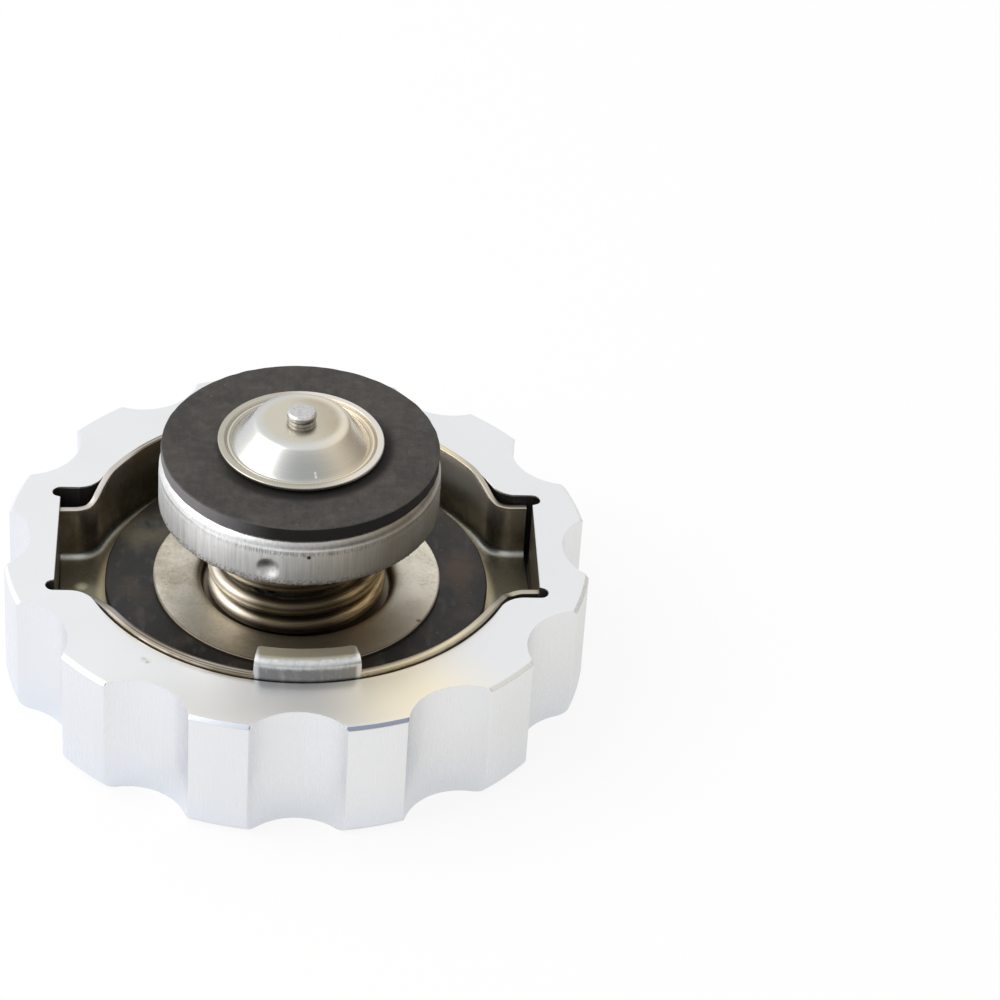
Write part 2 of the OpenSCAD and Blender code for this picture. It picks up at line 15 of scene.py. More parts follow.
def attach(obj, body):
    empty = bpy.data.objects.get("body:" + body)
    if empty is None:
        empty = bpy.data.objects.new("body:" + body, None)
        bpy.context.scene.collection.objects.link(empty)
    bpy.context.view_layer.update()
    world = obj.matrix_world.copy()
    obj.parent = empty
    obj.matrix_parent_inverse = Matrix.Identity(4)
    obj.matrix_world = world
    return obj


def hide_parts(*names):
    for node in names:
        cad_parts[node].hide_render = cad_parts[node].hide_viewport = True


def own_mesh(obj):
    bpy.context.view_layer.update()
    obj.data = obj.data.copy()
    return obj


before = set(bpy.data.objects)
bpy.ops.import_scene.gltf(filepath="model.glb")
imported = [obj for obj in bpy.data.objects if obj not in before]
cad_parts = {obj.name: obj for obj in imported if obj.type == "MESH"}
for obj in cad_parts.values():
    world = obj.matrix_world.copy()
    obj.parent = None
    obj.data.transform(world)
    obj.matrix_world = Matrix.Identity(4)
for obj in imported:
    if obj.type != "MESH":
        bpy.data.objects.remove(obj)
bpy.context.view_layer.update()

MM = 0.001
TAU = 2.0 * math.pi
QUARTER = math.pi / 2.0
MERGE = 0.002
SLIVER = 0.001
WIRE = "wire"

Array = np.ndarray
Color = tuple[float, float, float]
Place = tuple[float, float, float]
Point = tuple[float, float]
Value = Union[float, int, tuple, "Sock"]
Warp = Callable[[Array, Array, Array], tuple]

log = logging.getLogger("radiator_cap")


class Body(Enum):
    """The moving bodies of the cap."""

    CAP = "cap"
    CARRIER = "valve_carrier"
    PRESSURE = "pressure_valve"
    VACUUM = "vacuum_valve"


class Slot(Enum):
    """The record's material slots."""

    ANODISED = "anodised"
    SHELL = "plated_shell"
    ZINC = "zinc_plate"
    DRAWN = "drawn_aluminium"
    SPRING = "spring_steel"
    RUBBER = "black_rubber"


@dataclass
class Patch:
    """Points in millimetres, the quads between them, and an optional vector on each point."""

    points: Array
    quads: Array
    marks: Optional[Array] = None


def unit(vectors: Array) -> Array:
    """Each vector divided by its length."""
    return vectors / np.linalg.norm(vectors, axis=-1, keepdims=True)


def rounded_line(corners: Sequence[tuple], closed: bool = True, steps: int = 8) -> Array:
    """A line whose corners are arcs.

    Each arc touches both legs of its corner: its centre lies on the bisector, the radius over the sine of half
    the corner's angle away from the corner.

    Args:
        corners: x, y and radius of each corner.
        closed: whether the last corner leads back to the first.
        steps: steps in each arc.

    Returns:
        The points, one row each.
    """
    data = np.asarray(corners, float)
    at, radius = data[:, :2], np.maximum(data[:, 2:], 1e-4)
    back = unit(np.roll(at, 1, 0) - at)
    onward = unit(np.roll(at, -1, 0) - at)
    half = np.arccos(np.clip(np.sum(back * onward, 1, keepdims=True), -1, 1)) / 2
    centre = at + unit(back + onward) * radius / np.sin(half)
    start = at + back * radius / np.tan(half) - centre
    stop = at + onward * radius / np.tan(half) - centre
    first = np.arctan2(start[:, 1], start[:, 0])
    last = np.arctan2(stop[:, 1], stop[:, 0])
    turn = (last - first + math.pi) % TAU - math.pi
    angle = first[:, None] + turn[:, None] * np.linspace(0, 1, steps + 1)
    arcs = centre[:, None, :] + radius[:, None, :] * np.stack([np.cos(angle), np.sin(angle)], -1)
    if not closed:
        arcs[0], arcs[-1] = at[0], at[-1]
    return arcs.reshape(-1, 2)


def refined(line: Array, step: Union[float, Array], closed: bool = True) -> Array:
    """The line with points added, so that no leg is longer than step.

    Args:
        line: points, one row each.
        step: longest leg, one number or one for each leg.
        closed: whether the last point leads back to the first.

    Returns:
        The points, each leg cut into equal shares.
    """
    starts = line if closed else line[:-1]
    legs = np.roll(line, -1, 0)[: len(starts)] - starts
    count = np.maximum(1, np.ceil(np.linalg.norm(legs, axis=1) / step)).astype(int)
    index = np.repeat(np.arange(len(starts)), count)
    share = (np.arange(count.sum()) - np.repeat(np.cumsum(count) - count, count)) / count[index]
    points = starts[index] + legs[index] * share[:, None]
    return points if closed else np.vstack([points, line[-1:]])


def grid(points: Array, wrap_u: bool = False, wrap_v: bool = False, marks: Optional[Array] = None) -> Patch:
    """Quads between the neighbours of a grid of points.

    Args:
        points: array of u, v and three coordinates.
        wrap_u: whether the last row joins the first.
        wrap_v: whether the last column joins the first.
        marks: a vector for each point.

    Returns:
        The patch.
    """
    nu, nv = points.shape[:2]
    index = np.arange(nu * nv).reshape(nu, nv)
    if wrap_u:
        index = np.vstack([index, index[:1]])
    if wrap_v:
        index = np.hstack([index, index[:, :1]])
    quads = np.stack([index[:-1, :-1], index[1:, :-1], index[1:, 1:], index[:-1, 1:]], -1).reshape(-1, 4)
    return Patch(points.reshape(-1, 3), quads, None if marks is None else marks.reshape(-1, 3))


def sheet(inner: Array, outer: Array) -> Patch:
    """Closed sheet between two grids of the same size: both faces, and a strip along each of the four edges."""
    nu, nv = inner.shape[:2]
    faces = grid(inner).quads
    index = np.arange(nu * nv).reshape(nu, nv)
    quads = [faces[:, ::-1], faces + nu * nv]
    for edge in (index[0], index[-1][::-1], index[:, -1], index[:, 0][::-1]):
        quads.append(np.stack([edge[:-1], edge[1:], edge[1:] + nu * nv, edge[:-1] + nu * nv], -1))
    return Patch(np.concatenate([inner.reshape(-1, 3), outer.reshape(-1, 3)]), np.concatenate(quads))


def lathe(profile: Array, segments: int = 360, warp: Optional[Warp] = None, closed: bool = True) -> Patch:
    """Surface of revolution: the profile's radius and height, turned about Z.

    Args:
        profile: radius and height of each point.
        segments: steps around the axis.
        warp: takes the bearing, radius and height of each point and returns a new radius and height.
        closed: whether the profile closes on itself.

    Returns:
        The patch.
    """
    theta = np.linspace(0, TAU, segments, endpoint=False)[:, None]
    radius, height = profile[None, :, 0], profile[None, :, 1]
    if warp is not None:
        radius, height = warp(theta, radius, height)
    shape = np.broadcast_shapes(theta.shape, np.shape(radius), np.shape(height))
    parts = (radius * np.cos(theta), radius * np.sin(theta), height)
    return grid(np.stack([np.broadcast_to(part, shape) for part in parts], -1), wrap_u=True, wrap_v=closed)


def ripple(theta: Array, seed: int, low: int, high: int, count: int = 24) -> Array:
    """Smooth noise around the axis: a sum of cosines of whole frequencies with seeded phases, about 1 at most."""
    rng = np.random.default_rng(seed)
    wave = np.cos(theta[..., None] * rng.integers(low, high, count) + rng.uniform(0, TAU, count))
    return wave.sum(-1) / math.sqrt(2 * count)


def wander(amount: float, share: Callable[[Array], Array], seed: int, low: int, high: int) -> Warp:
    """A warp that lets an edge wander inwards by about the amount times the share at a radius."""
    return lambda theta, r, z: (r - amount * share(r) * (1 + ripple(theta, seed, low, high)), z)


def bent_round(theta: Array, bearing: float) -> Array:
    """Signed angle from a bearing in degrees, between minus and plus half a turn."""
    return (theta - math.radians(bearing) + math.pi) % TAU - math.pi


def operators(operation: str) -> tuple[Callable, Callable]:
    """The method of an operator and that of its reflection; each adds a Math node."""

    def plain(self: "Sock", other: Value) -> "Sock":
        """Adds the node with the value first."""
        return self.graph.math(operation, self, other)

    def reflected(self: "Sock", other: Value) -> "Sock":
        """Adds the node with the value second."""
        return self.graph.math(operation, other, self)

    return plain, reflected


class Sock:
    """A value in a shader graph. Arithmetic on it, from either side, adds Math nodes."""

    __add__, __radd__ = operators("ADD")
    __sub__, __rsub__ = operators("SUBTRACT")
    __mul__, __rmul__ = operators("MULTIPLY")
    __truediv__, __rtruediv__ = operators("DIVIDE")
    __pow__, __rpow__ = operators("POWER")

    def __init__(self, graph: "Graph", socket: bpy.types.NodeSocket) -> None:
        """Keeps the socket and the graph that it is in."""
        self.graph = graph
        self.socket = socket

    def __neg__(self) -> "Sock":
        """Negative."""
        return 0.0 - self

    def __abs__(self) -> "Sock":
        """Absolute value."""
        return self.graph.math("ABSOLUTE", self)

    def above(self, low: float, high: float) -> "Sock":
        """Smooth step from 0 at low to 1 at high."""
        inputs = {"Value": self, "From Min": low, "From Max": high}
        return self.graph.node("ShaderNodeMapRange", inputs, interpolation_type="SMOOTHSTEP")

    def below(self, low: float, high: float) -> "Sock":
        """Smooth step from 1 at low to 0 at high."""
        return 1 - self.above(low, high)

    def near(self, middle: float, reach: float) -> "Sock":
        """1 at the middle, falling smoothly to 0 at reach from it."""
        return abs(self - middle).below(0.0, reach)


class Graph:
    """Adds nodes to one node tree."""

    def __init__(self, tree: bpy.types.NodeTree) -> None:
        """Starts on an emptied tree."""
        self.tree = tree
        tree.nodes.clear()

    def node(self, kind: str, inputs: Optional[dict] = None, out: Union[int, str] = 0, **settings: Any) -> Sock:
        """Adds one node.

        Args:
            kind: the node's type.
            inputs: value or link of each named or numbered socket.
            out: the output that is returned.
            settings: attributes that are set first.

        Returns:
            The output.
        """
        made = self.tree.nodes.new(kind)
        for key, value in settings.items():
            setattr(made, key, value)
        for key, value in (inputs or {}).items():
            self.feed(made.inputs[key], value)
        return Sock(self, made.outputs[out])

    def feed(self, socket: bpy.types.NodeSocket, value: Value) -> None:
        """Links a value to a socket, or sets a constant on it; a colour gets its alpha."""
        if isinstance(value, Sock):
            self.tree.links.new(value.socket, socket)
        elif socket.type == "RGBA":
            socket.default_value = (*value, 1.0)
        else:
            socket.default_value = value

    def math(self, operation: str, first: Value, second: Value = 0.0) -> Sock:
        """A Math node on one or two values."""
        return self.node("ShaderNodeMath", {0: first, 1: second}, operation=operation)

    def most(self, first: Value, second: Value) -> Sock:
        """The greater of two values."""
        return self.math("MAXIMUM", first, second)

    def reach(self, x: Sock, y: Sock) -> Sock:
        """Length of a vector of the plan."""
        return (x * x + y * y) ** 0.5

    def blend(self, factor: Value, first: Value, second: Value) -> Sock:
        """A Mix node on two colours."""
        return self.node("ShaderNodeMix", {0: factor, 6: first, 7: second}, 2, data_type="RGBA", clamp_factor=True)

    def layers(self, color: Value, *over: tuple) -> Value:
        """Lays colours over a first one in order, each with its mask before it."""
        for mask, layer in over:
            color = self.blend(mask, color, layer)
        return color

    def place(self) -> Sock:
        """Object coordinates in millimetres."""
        coordinates = self.node("ShaderNodeTexCoord", out="Object")
        return self.stretch(coordinates, (1 / MM, 1 / MM, 1 / MM))

    def here(self) -> tuple:
        """Object coordinates in millimetres: the vector, then its three parts."""
        at = self.place()
        return (at, *self.split(at))

    def stretch(self, vector: Sock, scale: tuple, shift: tuple = (0.0, 0.0, 0.0)) -> Sock:
        """The vector scaled along each axis, then shifted."""
        return self.node("ShaderNodeMapping", {"Vector": vector, "Scale": scale, "Location": shift})

    def split(self, vector: Sock) -> tuple:
        """The three parts of a vector."""
        made = self.node("ShaderNodeSeparateXYZ", {0: vector})
        return tuple(Sock(self, output) for output in made.socket.node.outputs)

    def join(self, x: Value, y: Value, z: Value) -> Sock:
        """A vector from its three parts."""
        return self.node("ShaderNodeCombineXYZ", {0: x, 1: y, 2: z})

    def noise(self, vector: Sock, scale: float, detail: float = 3.0, rough: float = 0.55) -> Sock:
        """Fractal noise, about 0.5 in the middle."""
        inputs = {"Vector": vector, "Scale": scale, "Detail": detail, "Roughness": rough}
        return self.node("ShaderNodeTexNoise", inputs)

    def specks(self, vector: Sock, scale: float, size: float) -> Sock:
        """1 on small scattered specks, 0 between them."""
        distance = self.node("ShaderNodeTexVoronoi", {"Vector": vector, "Scale": scale}, "Distance", feature="F1")
        return distance.below(size * 0.6, size)

    def spot(self, x: Sock, y: Sock, middle: Point, inner: float, outer: float) -> Sock:
        """1 within inner of a point of the plan, falling smoothly to 0 at outer from it."""
        return self.reach(x - middle[0], y - middle[1]).below(inner, outer)

    def ball(self, at: Sock, middle: Place, inner: float, outer: float) -> Sock:
        """1 within inner of a point in space, falling smoothly to 0 at outer from it."""
        away = self.node("ShaderNodeVectorMath", {0: at, 1: middle}, "Value", operation="DISTANCE")
        return away.below(inner, outer)

    def shade(self, look: "Look") -> None:
        """Adds the surface shader and the output for a look; what is the same all over is set on its socket."""
        relief = {"Strength": 1.0, "Distance": look.relief * MM, "Height": look.height}
        self.end(self.node("ShaderNodeBsdfPrincipled", {
            "Base Color": look.color, "Roughness": look.roughness, "Metallic": look.metallic,
            "Specular IOR Level": look.specular, "Normal": self.node("ShaderNodeBump", relief)}))

    def end(self, surface: Sock, kind: str = "ShaderNodeOutputMaterial") -> None:
        """Adds the output of a material or a world."""
        output = self.tree.nodes.new(kind)
        self.tree.links.new(surface.socket, output.inputs["Surface"])


@dataclass
class Look:
    """What a finish says of its surface: links where it varies, else numbers; relief in millimetres."""

    color: Value
    roughness: Value
    height: Sock
    relief: float
    metallic: Value = 1.0
    specular: float = 0.5


@dataclass(frozen=True)
class Finish:
    """A surface finish of the cap."""

    name: str

    def paint(self, g: Graph) -> Look:
        """What the surface looks like, as nodes of the graph."""
        raise NotImplementedError

    @cache
    def material(self) -> bpy.types.Material:
        """Makes the material, once for each finish."""
        made = bpy.data.materials.new(self.name)
        made.use_nodes = True
        graph = Graph(made.node_tree)
        graph.shade(self.paint(graph))
        return made


@dataclass(frozen=True)
class AnodisedBillet(Finish):
    """Clear satin anodising on turned and milled aluminium: cutter lines up the walls, rings on the faces."""

    face_z: float = 19.4
    bevel_z: float = 19.02
    bevel_r: float = 42.5
    pocket_r: float = 38.4
    pocket_z: float = 19.15
    slot_x: float = 31.0
    reflection_at: Point = (15.5, -34.5)
    pale: Color = (0.93, 0.93, 0.935)
    deep: Color = (0.80, 0.805, 0.815)
    shade: Color = (0.03, 0.028, 0.026)
    brownish: Color = (0.24, 0.20, 0.14)
    cream: Color = (0.99, 0.90, 0.70)
    blue: Color = (0.82, 0.88, 0.96)
    beige: Color = (0.76, 0.73, 0.68)
    slate: Color = (0.36, 0.41, 0.54)
    sky: Color = (0.80, 0.85, 0.94)
    mist: Color = (0.88, 0.89, 0.87)
    white: Color = (0.96, 0.96, 0.965)

    def paint(self, g: Graph) -> Look:
        """Fine lines in colour, roughness and relief, a slow cloud over them, slots painted dark for their shade,
        and painted reflections on the bevels, lower walls and face.
        """
        at, x, y, z = g.here()
        rho = g.reach(x, y)
        up = g.noise(g.stretch(at, (2.6, 2.6, 0.03)), 1.0, 3.0, 0.7)
        rings = g.noise(g.join(rho * 4.0, 0.0, z), 1.0, 2.0, 0.6)
        face = z.above(self.face_z, self.face_z + 0.05)
        lines = up * (1 - face) + rings * face
        cloud = g.noise(at, 0.07, 2.0)
        tone = 0.5 + (lines - 0.5) * 0.15 + (cloud - 0.5) * 0.5
        inside = rho.below(self.pocket_r - 0.1, self.pocket_r)
        inside = inside * z.below(self.pocket_z, self.pocket_z + 0.15) * z.above(1.0, 1.1)
        slot = inside * (abs(x) + y.above(-4.0, 4.0) * 4.0).above(self.slot_x, self.slot_x + 2.0)
        end = abs(x).above(34.6, 35.2) * abs(y).below(9.6, 10.4)
        # Painted reflection: a cream spot on the face, standing for a bright warm reflection; it is also made less
        # metallic.
        cream_reflection = g.spot(x, y, self.reflection_at, 2.0, 15.0) * face
        bevel = z.above(self.bevel_z, self.bevel_z + 0.04) * rho.above(self.bevel_r, self.bevel_r + 0.04)
        # Painted reflections on the bevel: at the front it is painted pale blue to the left and dark slate to the
        # right, elsewhere white to the left and mist grey to the right.
        ahead = g.blend(x.above(-8.0, 8.0), self.sky, self.slate)
        aside = g.blend(x.above(-10.0, 10.0), self.white, self.mist)
        dirt = g.most(g.spot(x, y, (-21.7, -27.8), 0.0, 0.7), g.spot(x, y, (-21.2, -28.35), 0.0, 0.75))
        color = g.layers(
            g.blend(tone, self.deep, self.pale),
            # Painted shade: the slots are painted near black for the shade in them, and their end walls a lighter
            # brown where some light reaches them.
            (slot * 0.96, g.blend(end, self.shade, self.brownish)),
            # Painted reflection: the walls are painted bluish towards the bottom, where they mirror the table.
            ((1 - face) * z.below(0.0, 9.0) * 0.4, self.blue),
            # Painted reflection: the front of the face is painted a darker beige, where it mirrors the tab.
            ((-y).above(30.0, 40.0) * face * 0.55, self.beige),
            (cream_reflection * 0.9, self.cream),
            (bevel, g.blend((-y).above(36.0, 40.0), aside, ahead)),
            (dirt * g.noise(at, 4.0, 2.0).above(0.42, 0.55) * face * 0.6, self.brownish),
        )
        return Look(color=color,
                    roughness=(0.27 + face * 0.09 + (lines - 0.5) * (0.08 - face * 0.05) + (cloud - 0.5) * 0.06
                               + slot * 0.3),
                    metallic=1 - cream_reflection * 0.4 - bevel * x.above(20.0, 32.0) * 0.7, height=up * (1 - face),
                    relief=0.0002)


@dataclass(frozen=True)
class PlatedShell(Finish):
    """Zinc plate on stamped steel, gone brown in the hollow, with a sheared rim, and rubbed tabs with painted
    highlights on their bends and ends.
    """

    rim_z: float = 20.3
    ear_drop: float = 2.3
    drop_start: float = 26.4
    drop_end: float = 30.6
    floor_z: float = 9.3
    gasket_r: float = 28.7
    tab_z: float = 20.5
    bend_z: float = 22.2
    top_z: float = 22.7
    tab_half: float = 7.45
    turn: float = 0.0384
    steel: Color = (0.60, 0.55, 0.47)
    brown: Color = (0.34, 0.285, 0.19)
    dark: Color = (0.12, 0.095, 0.06)
    tan: Color = (0.12, 0.114, 0.082)
    floor_light: Color = (0.62, 0.54, 0.37)
    wall_light: Color = (0.92, 0.87, 0.82)
    glint: Color = (0.92, 0.88, 0.66)
    bend_highlight: Color = (0.78, 0.83, 0.81)
    rose: Color = (0.60, 0.56, 0.515)
    darker_rim: Color = (0.36, 0.33, 0.295)
    gold: Color = (0.96, 0.86, 0.61)
    front: Color = (0.29, 0.29, 0.295)
    tab_highlight: Color = (0.90, 0.92, 0.925)
    top: Color = (0.42, 0.375, 0.28)

    def paint(self, g: Graph) -> Look:
        """Brown film in clouds, painted light and highlights on the floor, bends and back wall, a pale rim split by
        a dark line, and tabs in bands.
        """
        at, x, y, z = g.here()
        rho = g.reach(x, y)
        cloud = g.noise(at, 0.16, 4.0, 0.6)
        fine = g.noise(at, 1.5, 3.0, 0.6)
        lines = g.noise(g.stretch(at, (1.5, 1.5, 0.12)), 1.0, 3.0, 0.65)
        brownish = (cloud * 0.9 + lines * 0.1 - x.above(-5.0, 30.0) * 0.06).above(0.34, 0.60)
        floor = z.below(self.floor_z + 0.2, self.floor_z + 1.2)
        fore = g.most((-y).above(-2.0, 9.0) * 0.5, rho.below(self.gasket_r, self.gasket_r + 1.3) * 0.9)
        bend = z.near(self.floor_z + 0.5, 0.55) * abs(x).above(25.0, 29.0) * y.above(4.0, 7.0)
        glint = g.most(g.spot(x, y, (-31.6, 1.4), 0.2, 1.5), g.spot(x, y, (-30.5, 0.4), 0.1, 3.2) * 0.3)
        wall = g.layers(
            g.blend(brownish, self.steel, self.brown),
            (floor * (0.65 + fine * 0.4), self.tan),
            # Painted light on the front part of the ear floors and along the gasket's edge.
            (fore * floor * abs(x).above(20.0, 25.0) * (0.6 + fine * 0.6), self.floor_light),
            # Painted light on the upper back right wall.
            (x.above(8.0, 24.0) * y.above(4.0, 14.0) * z.above(12.0, 17.0) * 0.9, self.wall_light),
            # Painted highlight along the bend at the back of each ear.
            (bend * (0.5 + fine * 0.5), self.bend_highlight),
            (glint * floor * (0.35 + fine * 0.6), self.glint),
        )
        split = g.noise(g.join(rho * 3.4, 0.0, z * 3.0), 1.0, 2.0).above(0.40, 0.58)
        edge = g.layers(
            g.blend(x.above(-6.0, 20.0), self.rose, self.gold),
            # The rim is darker towards the front left and beyond 22 mm towards +X.
            ((-x).above(11.0, 20.0) * (-y).above(2.0, 10.0) * 0.9, self.darker_rim),
            (x.above(22.0, 27.0) * 0.75, self.darker_rim),
            (split * (0.9 - x.above(-8.0, 12.0) * 0.6) * abs(x).below(23.0, 26.0), self.dark),
        )
        along = abs(x + y * self.turn)
        tab = g.layers(
            # Painted highlight: the tab's bend and its two ends are painted bright.
            g.blend((lines - 0.5) * 0.9 + (fine - 0.5) * 0.5 + z.near(self.bend_z, 0.95), self.front, self.tab_highlight),
            (z.above(self.top_z, self.top_z + 0.18) * (0.75 + fine * 0.3), self.top),
            (along.above(self.tab_half - 0.9, self.tab_half - 0.25) * 0.75, self.tab_highlight),
        )
        crown = self.rim_z - self.ear_drop * abs(x).above(self.drop_start, self.drop_end)
        beside = along.above(self.tab_half - 0.1, self.tab_half + 0.1)
        below = (1 - beside) * abs(y).above(30.6, 31.0) * z.above(16.5, 17.0)
        on_tab = g.most(z.above(self.tab_z - 0.1, self.tab_z + 0.1), below)
        return Look(color=g.layers(wall, ((z - crown).above(-0.55, -0.1), edge), (on_tab, tab)),
                    roughness=0.27 + cloud * 0.16 + brownish * 0.04, height=lines * 0.25 + cloud + fine * 0.2,
                    relief=0.012)


@dataclass(frozen=True)
class DrawnDrum(Finish):
    """Aluminium cup: draw lines up the wall, a ticked crease under the shoulder and a burred lower edge."""

    crease_z: float = 32.75
    edge_z: float = 27.2
    radius: float = 20.4
    dimples: tuple[float, ...] = (257.0, 17.0, 137.0)
    dimple_z: float = 29.7
    dot: Place = (1.16, -20.4, 32.2)
    rust: Color = (0.06, 0.04, 0.03)
    pale: Color = (0.88, 0.88, 0.875)
    grey: Color = (0.58, 0.565, 0.53)
    warm: Color = (0.15, 0.121, 0.076)
    darkening: Color = (0.19, 0.175, 0.15)

    def paint(self, g: Graph) -> Look:
        """Lines stretched along Z, a dark crease in fine ticks, and grime at the lower edge."""
        at, x, y, z = g.here()
        lines = g.noise(g.stretch(at, (2.6, 2.6, 0.08)), 1.0, 4.0, 0.75)
        cloud = g.noise(at, 0.22, 3.0)
        pits = g.specks(at, 0.9, 0.13) * cloud.above(0.45, 0.6)
        ticks = g.noise(g.stretch(at, (6.5, 6.5, 0.25)), 1.0, 1.0).above(0.30, 0.70)
        # Painted shade in the crease, lighter towards -X.
        crease = z.near(self.crease_z - 0.1, 0.62) * ticks * (1 - (-x).above(4.0, 14.0) * 0.7)
        wall = z.below(self.crease_z - 0.3, self.crease_z + 0.3)
        burr = g.noise(at, 2.4, 3.0, 0.7)
        edge = z.below(self.edge_z + 0.3, self.edge_z + 1.5) * burr.above(0.44, 0.58)
        tone = 0.72 + (lines - 0.5) * 2.0 + (cloud - 0.5) * 0.8 - wall * 0.1
        dents = [(self.radius * math.cos(a) - 0.3, self.radius * math.sin(a), self.dimple_z + 0.45)
                 for a in map(math.radians, self.dimples)]
        color = g.layers(
            g.blend(tone, self.grey, self.pale),
            # Painted reflection: the +X side is painted dark warm brown, where it mirrors the dark surroundings.
            (x.above(-6.0, 15.0) * (0.6 + cloud * 0.45), self.warm),
            # Painted shade in the upper part of each dimple.
            *((g.ball(at, dent, 0.6, 1.6) * 0.9, self.darkening) for dent in dents),
            # Painted shade in the crease, and real pits.
            (g.most(crease * 0.75, pits * 0.5), self.darkening),
            (edge * 0.75, self.darkening),
            (g.ball(at, self.dot, 0.15, 0.45), self.rust),
        )
        return Look(color=color,
                    roughness=0.50 + (lines - 0.5) * 0.16 + crease * 0.2 + edge * 0.2 - (1 - wall) * 0.16,
                    height=lines + burr * edge * 4.0 - pits, relief=0.005)


@dataclass(frozen=True)
class ZincDish(Finish):
    """Bright zinc plate with a faint straw film that is strongest in the rings, and painted light and shade on one
    side.
    """

    ring_r: float = 10.45
    crown_r: float = 6.2
    lip_r: float = 11.05
    bright: Color = (0.66, 0.66, 0.635)
    lip_highlight: Color = (0.74, 0.70, 0.65)
    slate: Color = (0.42, 0.43, 0.41)
    straw: Color = (0.64, 0.59, 0.47)
    shaded_straw: Color = (0.50, 0.43, 0.32)
    lit_cream: Color = (0.84, 0.75, 0.60)
    edge: Color = (0.47, 0.43, 0.34)
    darkening: Color = (0.18, 0.15, 0.10)
    nick: Color = (0.98, 0.98, 0.97)

    def paint(self, g: Graph) -> Look:
        """Straw in the rings, painted light and shade by side and in the grooves, and hair lines around the axis.
        """
        at, x, y, z = g.here()
        rho = g.reach(x, y)
        cloud = g.noise(at, 0.45, 4.0, 0.6)
        hair = g.noise(g.join(rho * 3.0, z * 3.0, 0.0), 1.0, 2.0)
        rings = rho.near(self.ring_r, 0.75)
        side = (x + y * 0.3).above(-1.5, 5.0) * (0.5 + cloud * 0.6)
        crown = rho.below(self.crown_r - 1.2, self.crown_r)
        lip = rho.above(self.lip_r, self.lip_r + 0.15) * (x + y * 0.4).above(1.0, 7.0)
        fore = rho.below(9.6, 10.0) * rho.above(6.6, 8.8) * (-y - abs(x) * 0.5).above(2.0, 8.0)
        nick = g.most(g.spot(x, y, (1.95, -8.95), 0.04, 0.24), g.spot(x, y, (2.05, -9.25), 0.04, 0.28))
        color = g.layers(
            g.blend(rings * 0.7 + crown * 0.8 + (cloud - 0.5) * 0.5, self.bright, self.straw),
            # Painted light and shade: towards +X the cone is painted a lit cream and the crown a shaded straw.
            (side, g.blend(crown, self.lit_cream, self.shaded_straw)),
            (rho.above(11.0, 11.1) * (0.5 + cloud * 0.5) * x.below(1.0, 8.0), self.edge),
            # Painted highlight on the lip towards +X, which is also made less metallic.
            (lip, self.lip_highlight),
            # Painted shade on the front of the cone.
            (fore * 0.5, self.slate),
            # Painted shade in the two grooves of the rim.
            (g.most(rho.near(10.8, 0.16), rho.near(10.02, 0.14)) * 0.7, self.darkening),
            (nick, self.nick),
        )
        return Look(color=color, roughness=0.22 + cloud * 0.10 + rings * 0.04 + nick * 0.3, metallic=1 - lip * 0.5,
                    height=hair + cloud * 0.3, relief=0.005)


@dataclass(frozen=True)
class SeatDisc(Finish):
    """Handled steel disc: warm grey, mottled, with fine scratches and painted shade in the well, over the front and
    along its front edge.
    """

    well_r: float = 14.6
    edge_r: float = 20.75
    pale: Color = (0.78, 0.735, 0.63)
    warm: Color = (0.49, 0.425, 0.325)
    bright_cream: Color = (0.93, 0.89, 0.77)
    dark: Color = (0.16, 0.13, 0.10)

    def paint(self, g: Graph) -> Look:
        """Two sizes of mottling, scratches from stretched noise, and painted shade in the well, over the front and
        along the front edge.
        """
        at, x, y, _ = g.here()
        rho = g.reach(x, y)
        cloud = g.noise(at, 0.18, 4.0, 0.62)
        grain = g.noise(at, 1.7, 3.0, 0.6)
        scratch = g.noise(g.stretch(at, (0.5, 4.5, 1.0)), 1.0, 2.0).above(0.62, 0.72)
        other = g.noise(g.stretch(at, (4.0, 0.6, 1.0), (7.0, 3.0, 0.0)), 1.0, 2.0).above(0.64, 0.74)
        scores = g.noise(g.stretch(at, (3.2, 1.1, 1.0), (1.0, 5.0, 0.0)), 1.0, 3.0, 0.7).above(0.60, 0.68)
        well = rho.below(self.well_r - 0.8, self.well_r + 1.2)
        nick = g.most(g.spot(x, y, (17.7, -10.6), 0.1, 0.55), g.spot(x, y, (18.2, -10.9), 0.1, 0.5))
        color = g.layers(
            g.blend(cloud.above(0.32, 0.68) * 0.75 + (grain - 0.5), self.pale, self.warm),
            (g.most(scratch, other) * 0.35, self.pale),
            (scores * cloud.above(0.40, 0.60) * 0.5, self.dark),
            (x.above(11.0, 18.0) * y.above(-12.0, -2.0) * grain.above(0.3, 0.6) * 0.6, self.bright_cream),
            # Painted shade over the front of the disc.
            ((-y + x * 0.4).above(8.0, 19.0) * 0.7, self.warm),
            # Painted shadow along the front edge.
            (rho.above(self.edge_r, self.edge_r + 0.25) * (-y).above(-4.0, 4.0) * 0.85, self.dark),
            # Painted shade in the well, and real nicks.
            (g.most(well * 0.88, nick), self.dark),
        )
        return Look(color=color, roughness=0.30 + cloud * 0.16 + grain * 0.06,
                    height=cloud + grain * 0.4 + scratch * 0.4, relief=0.015)


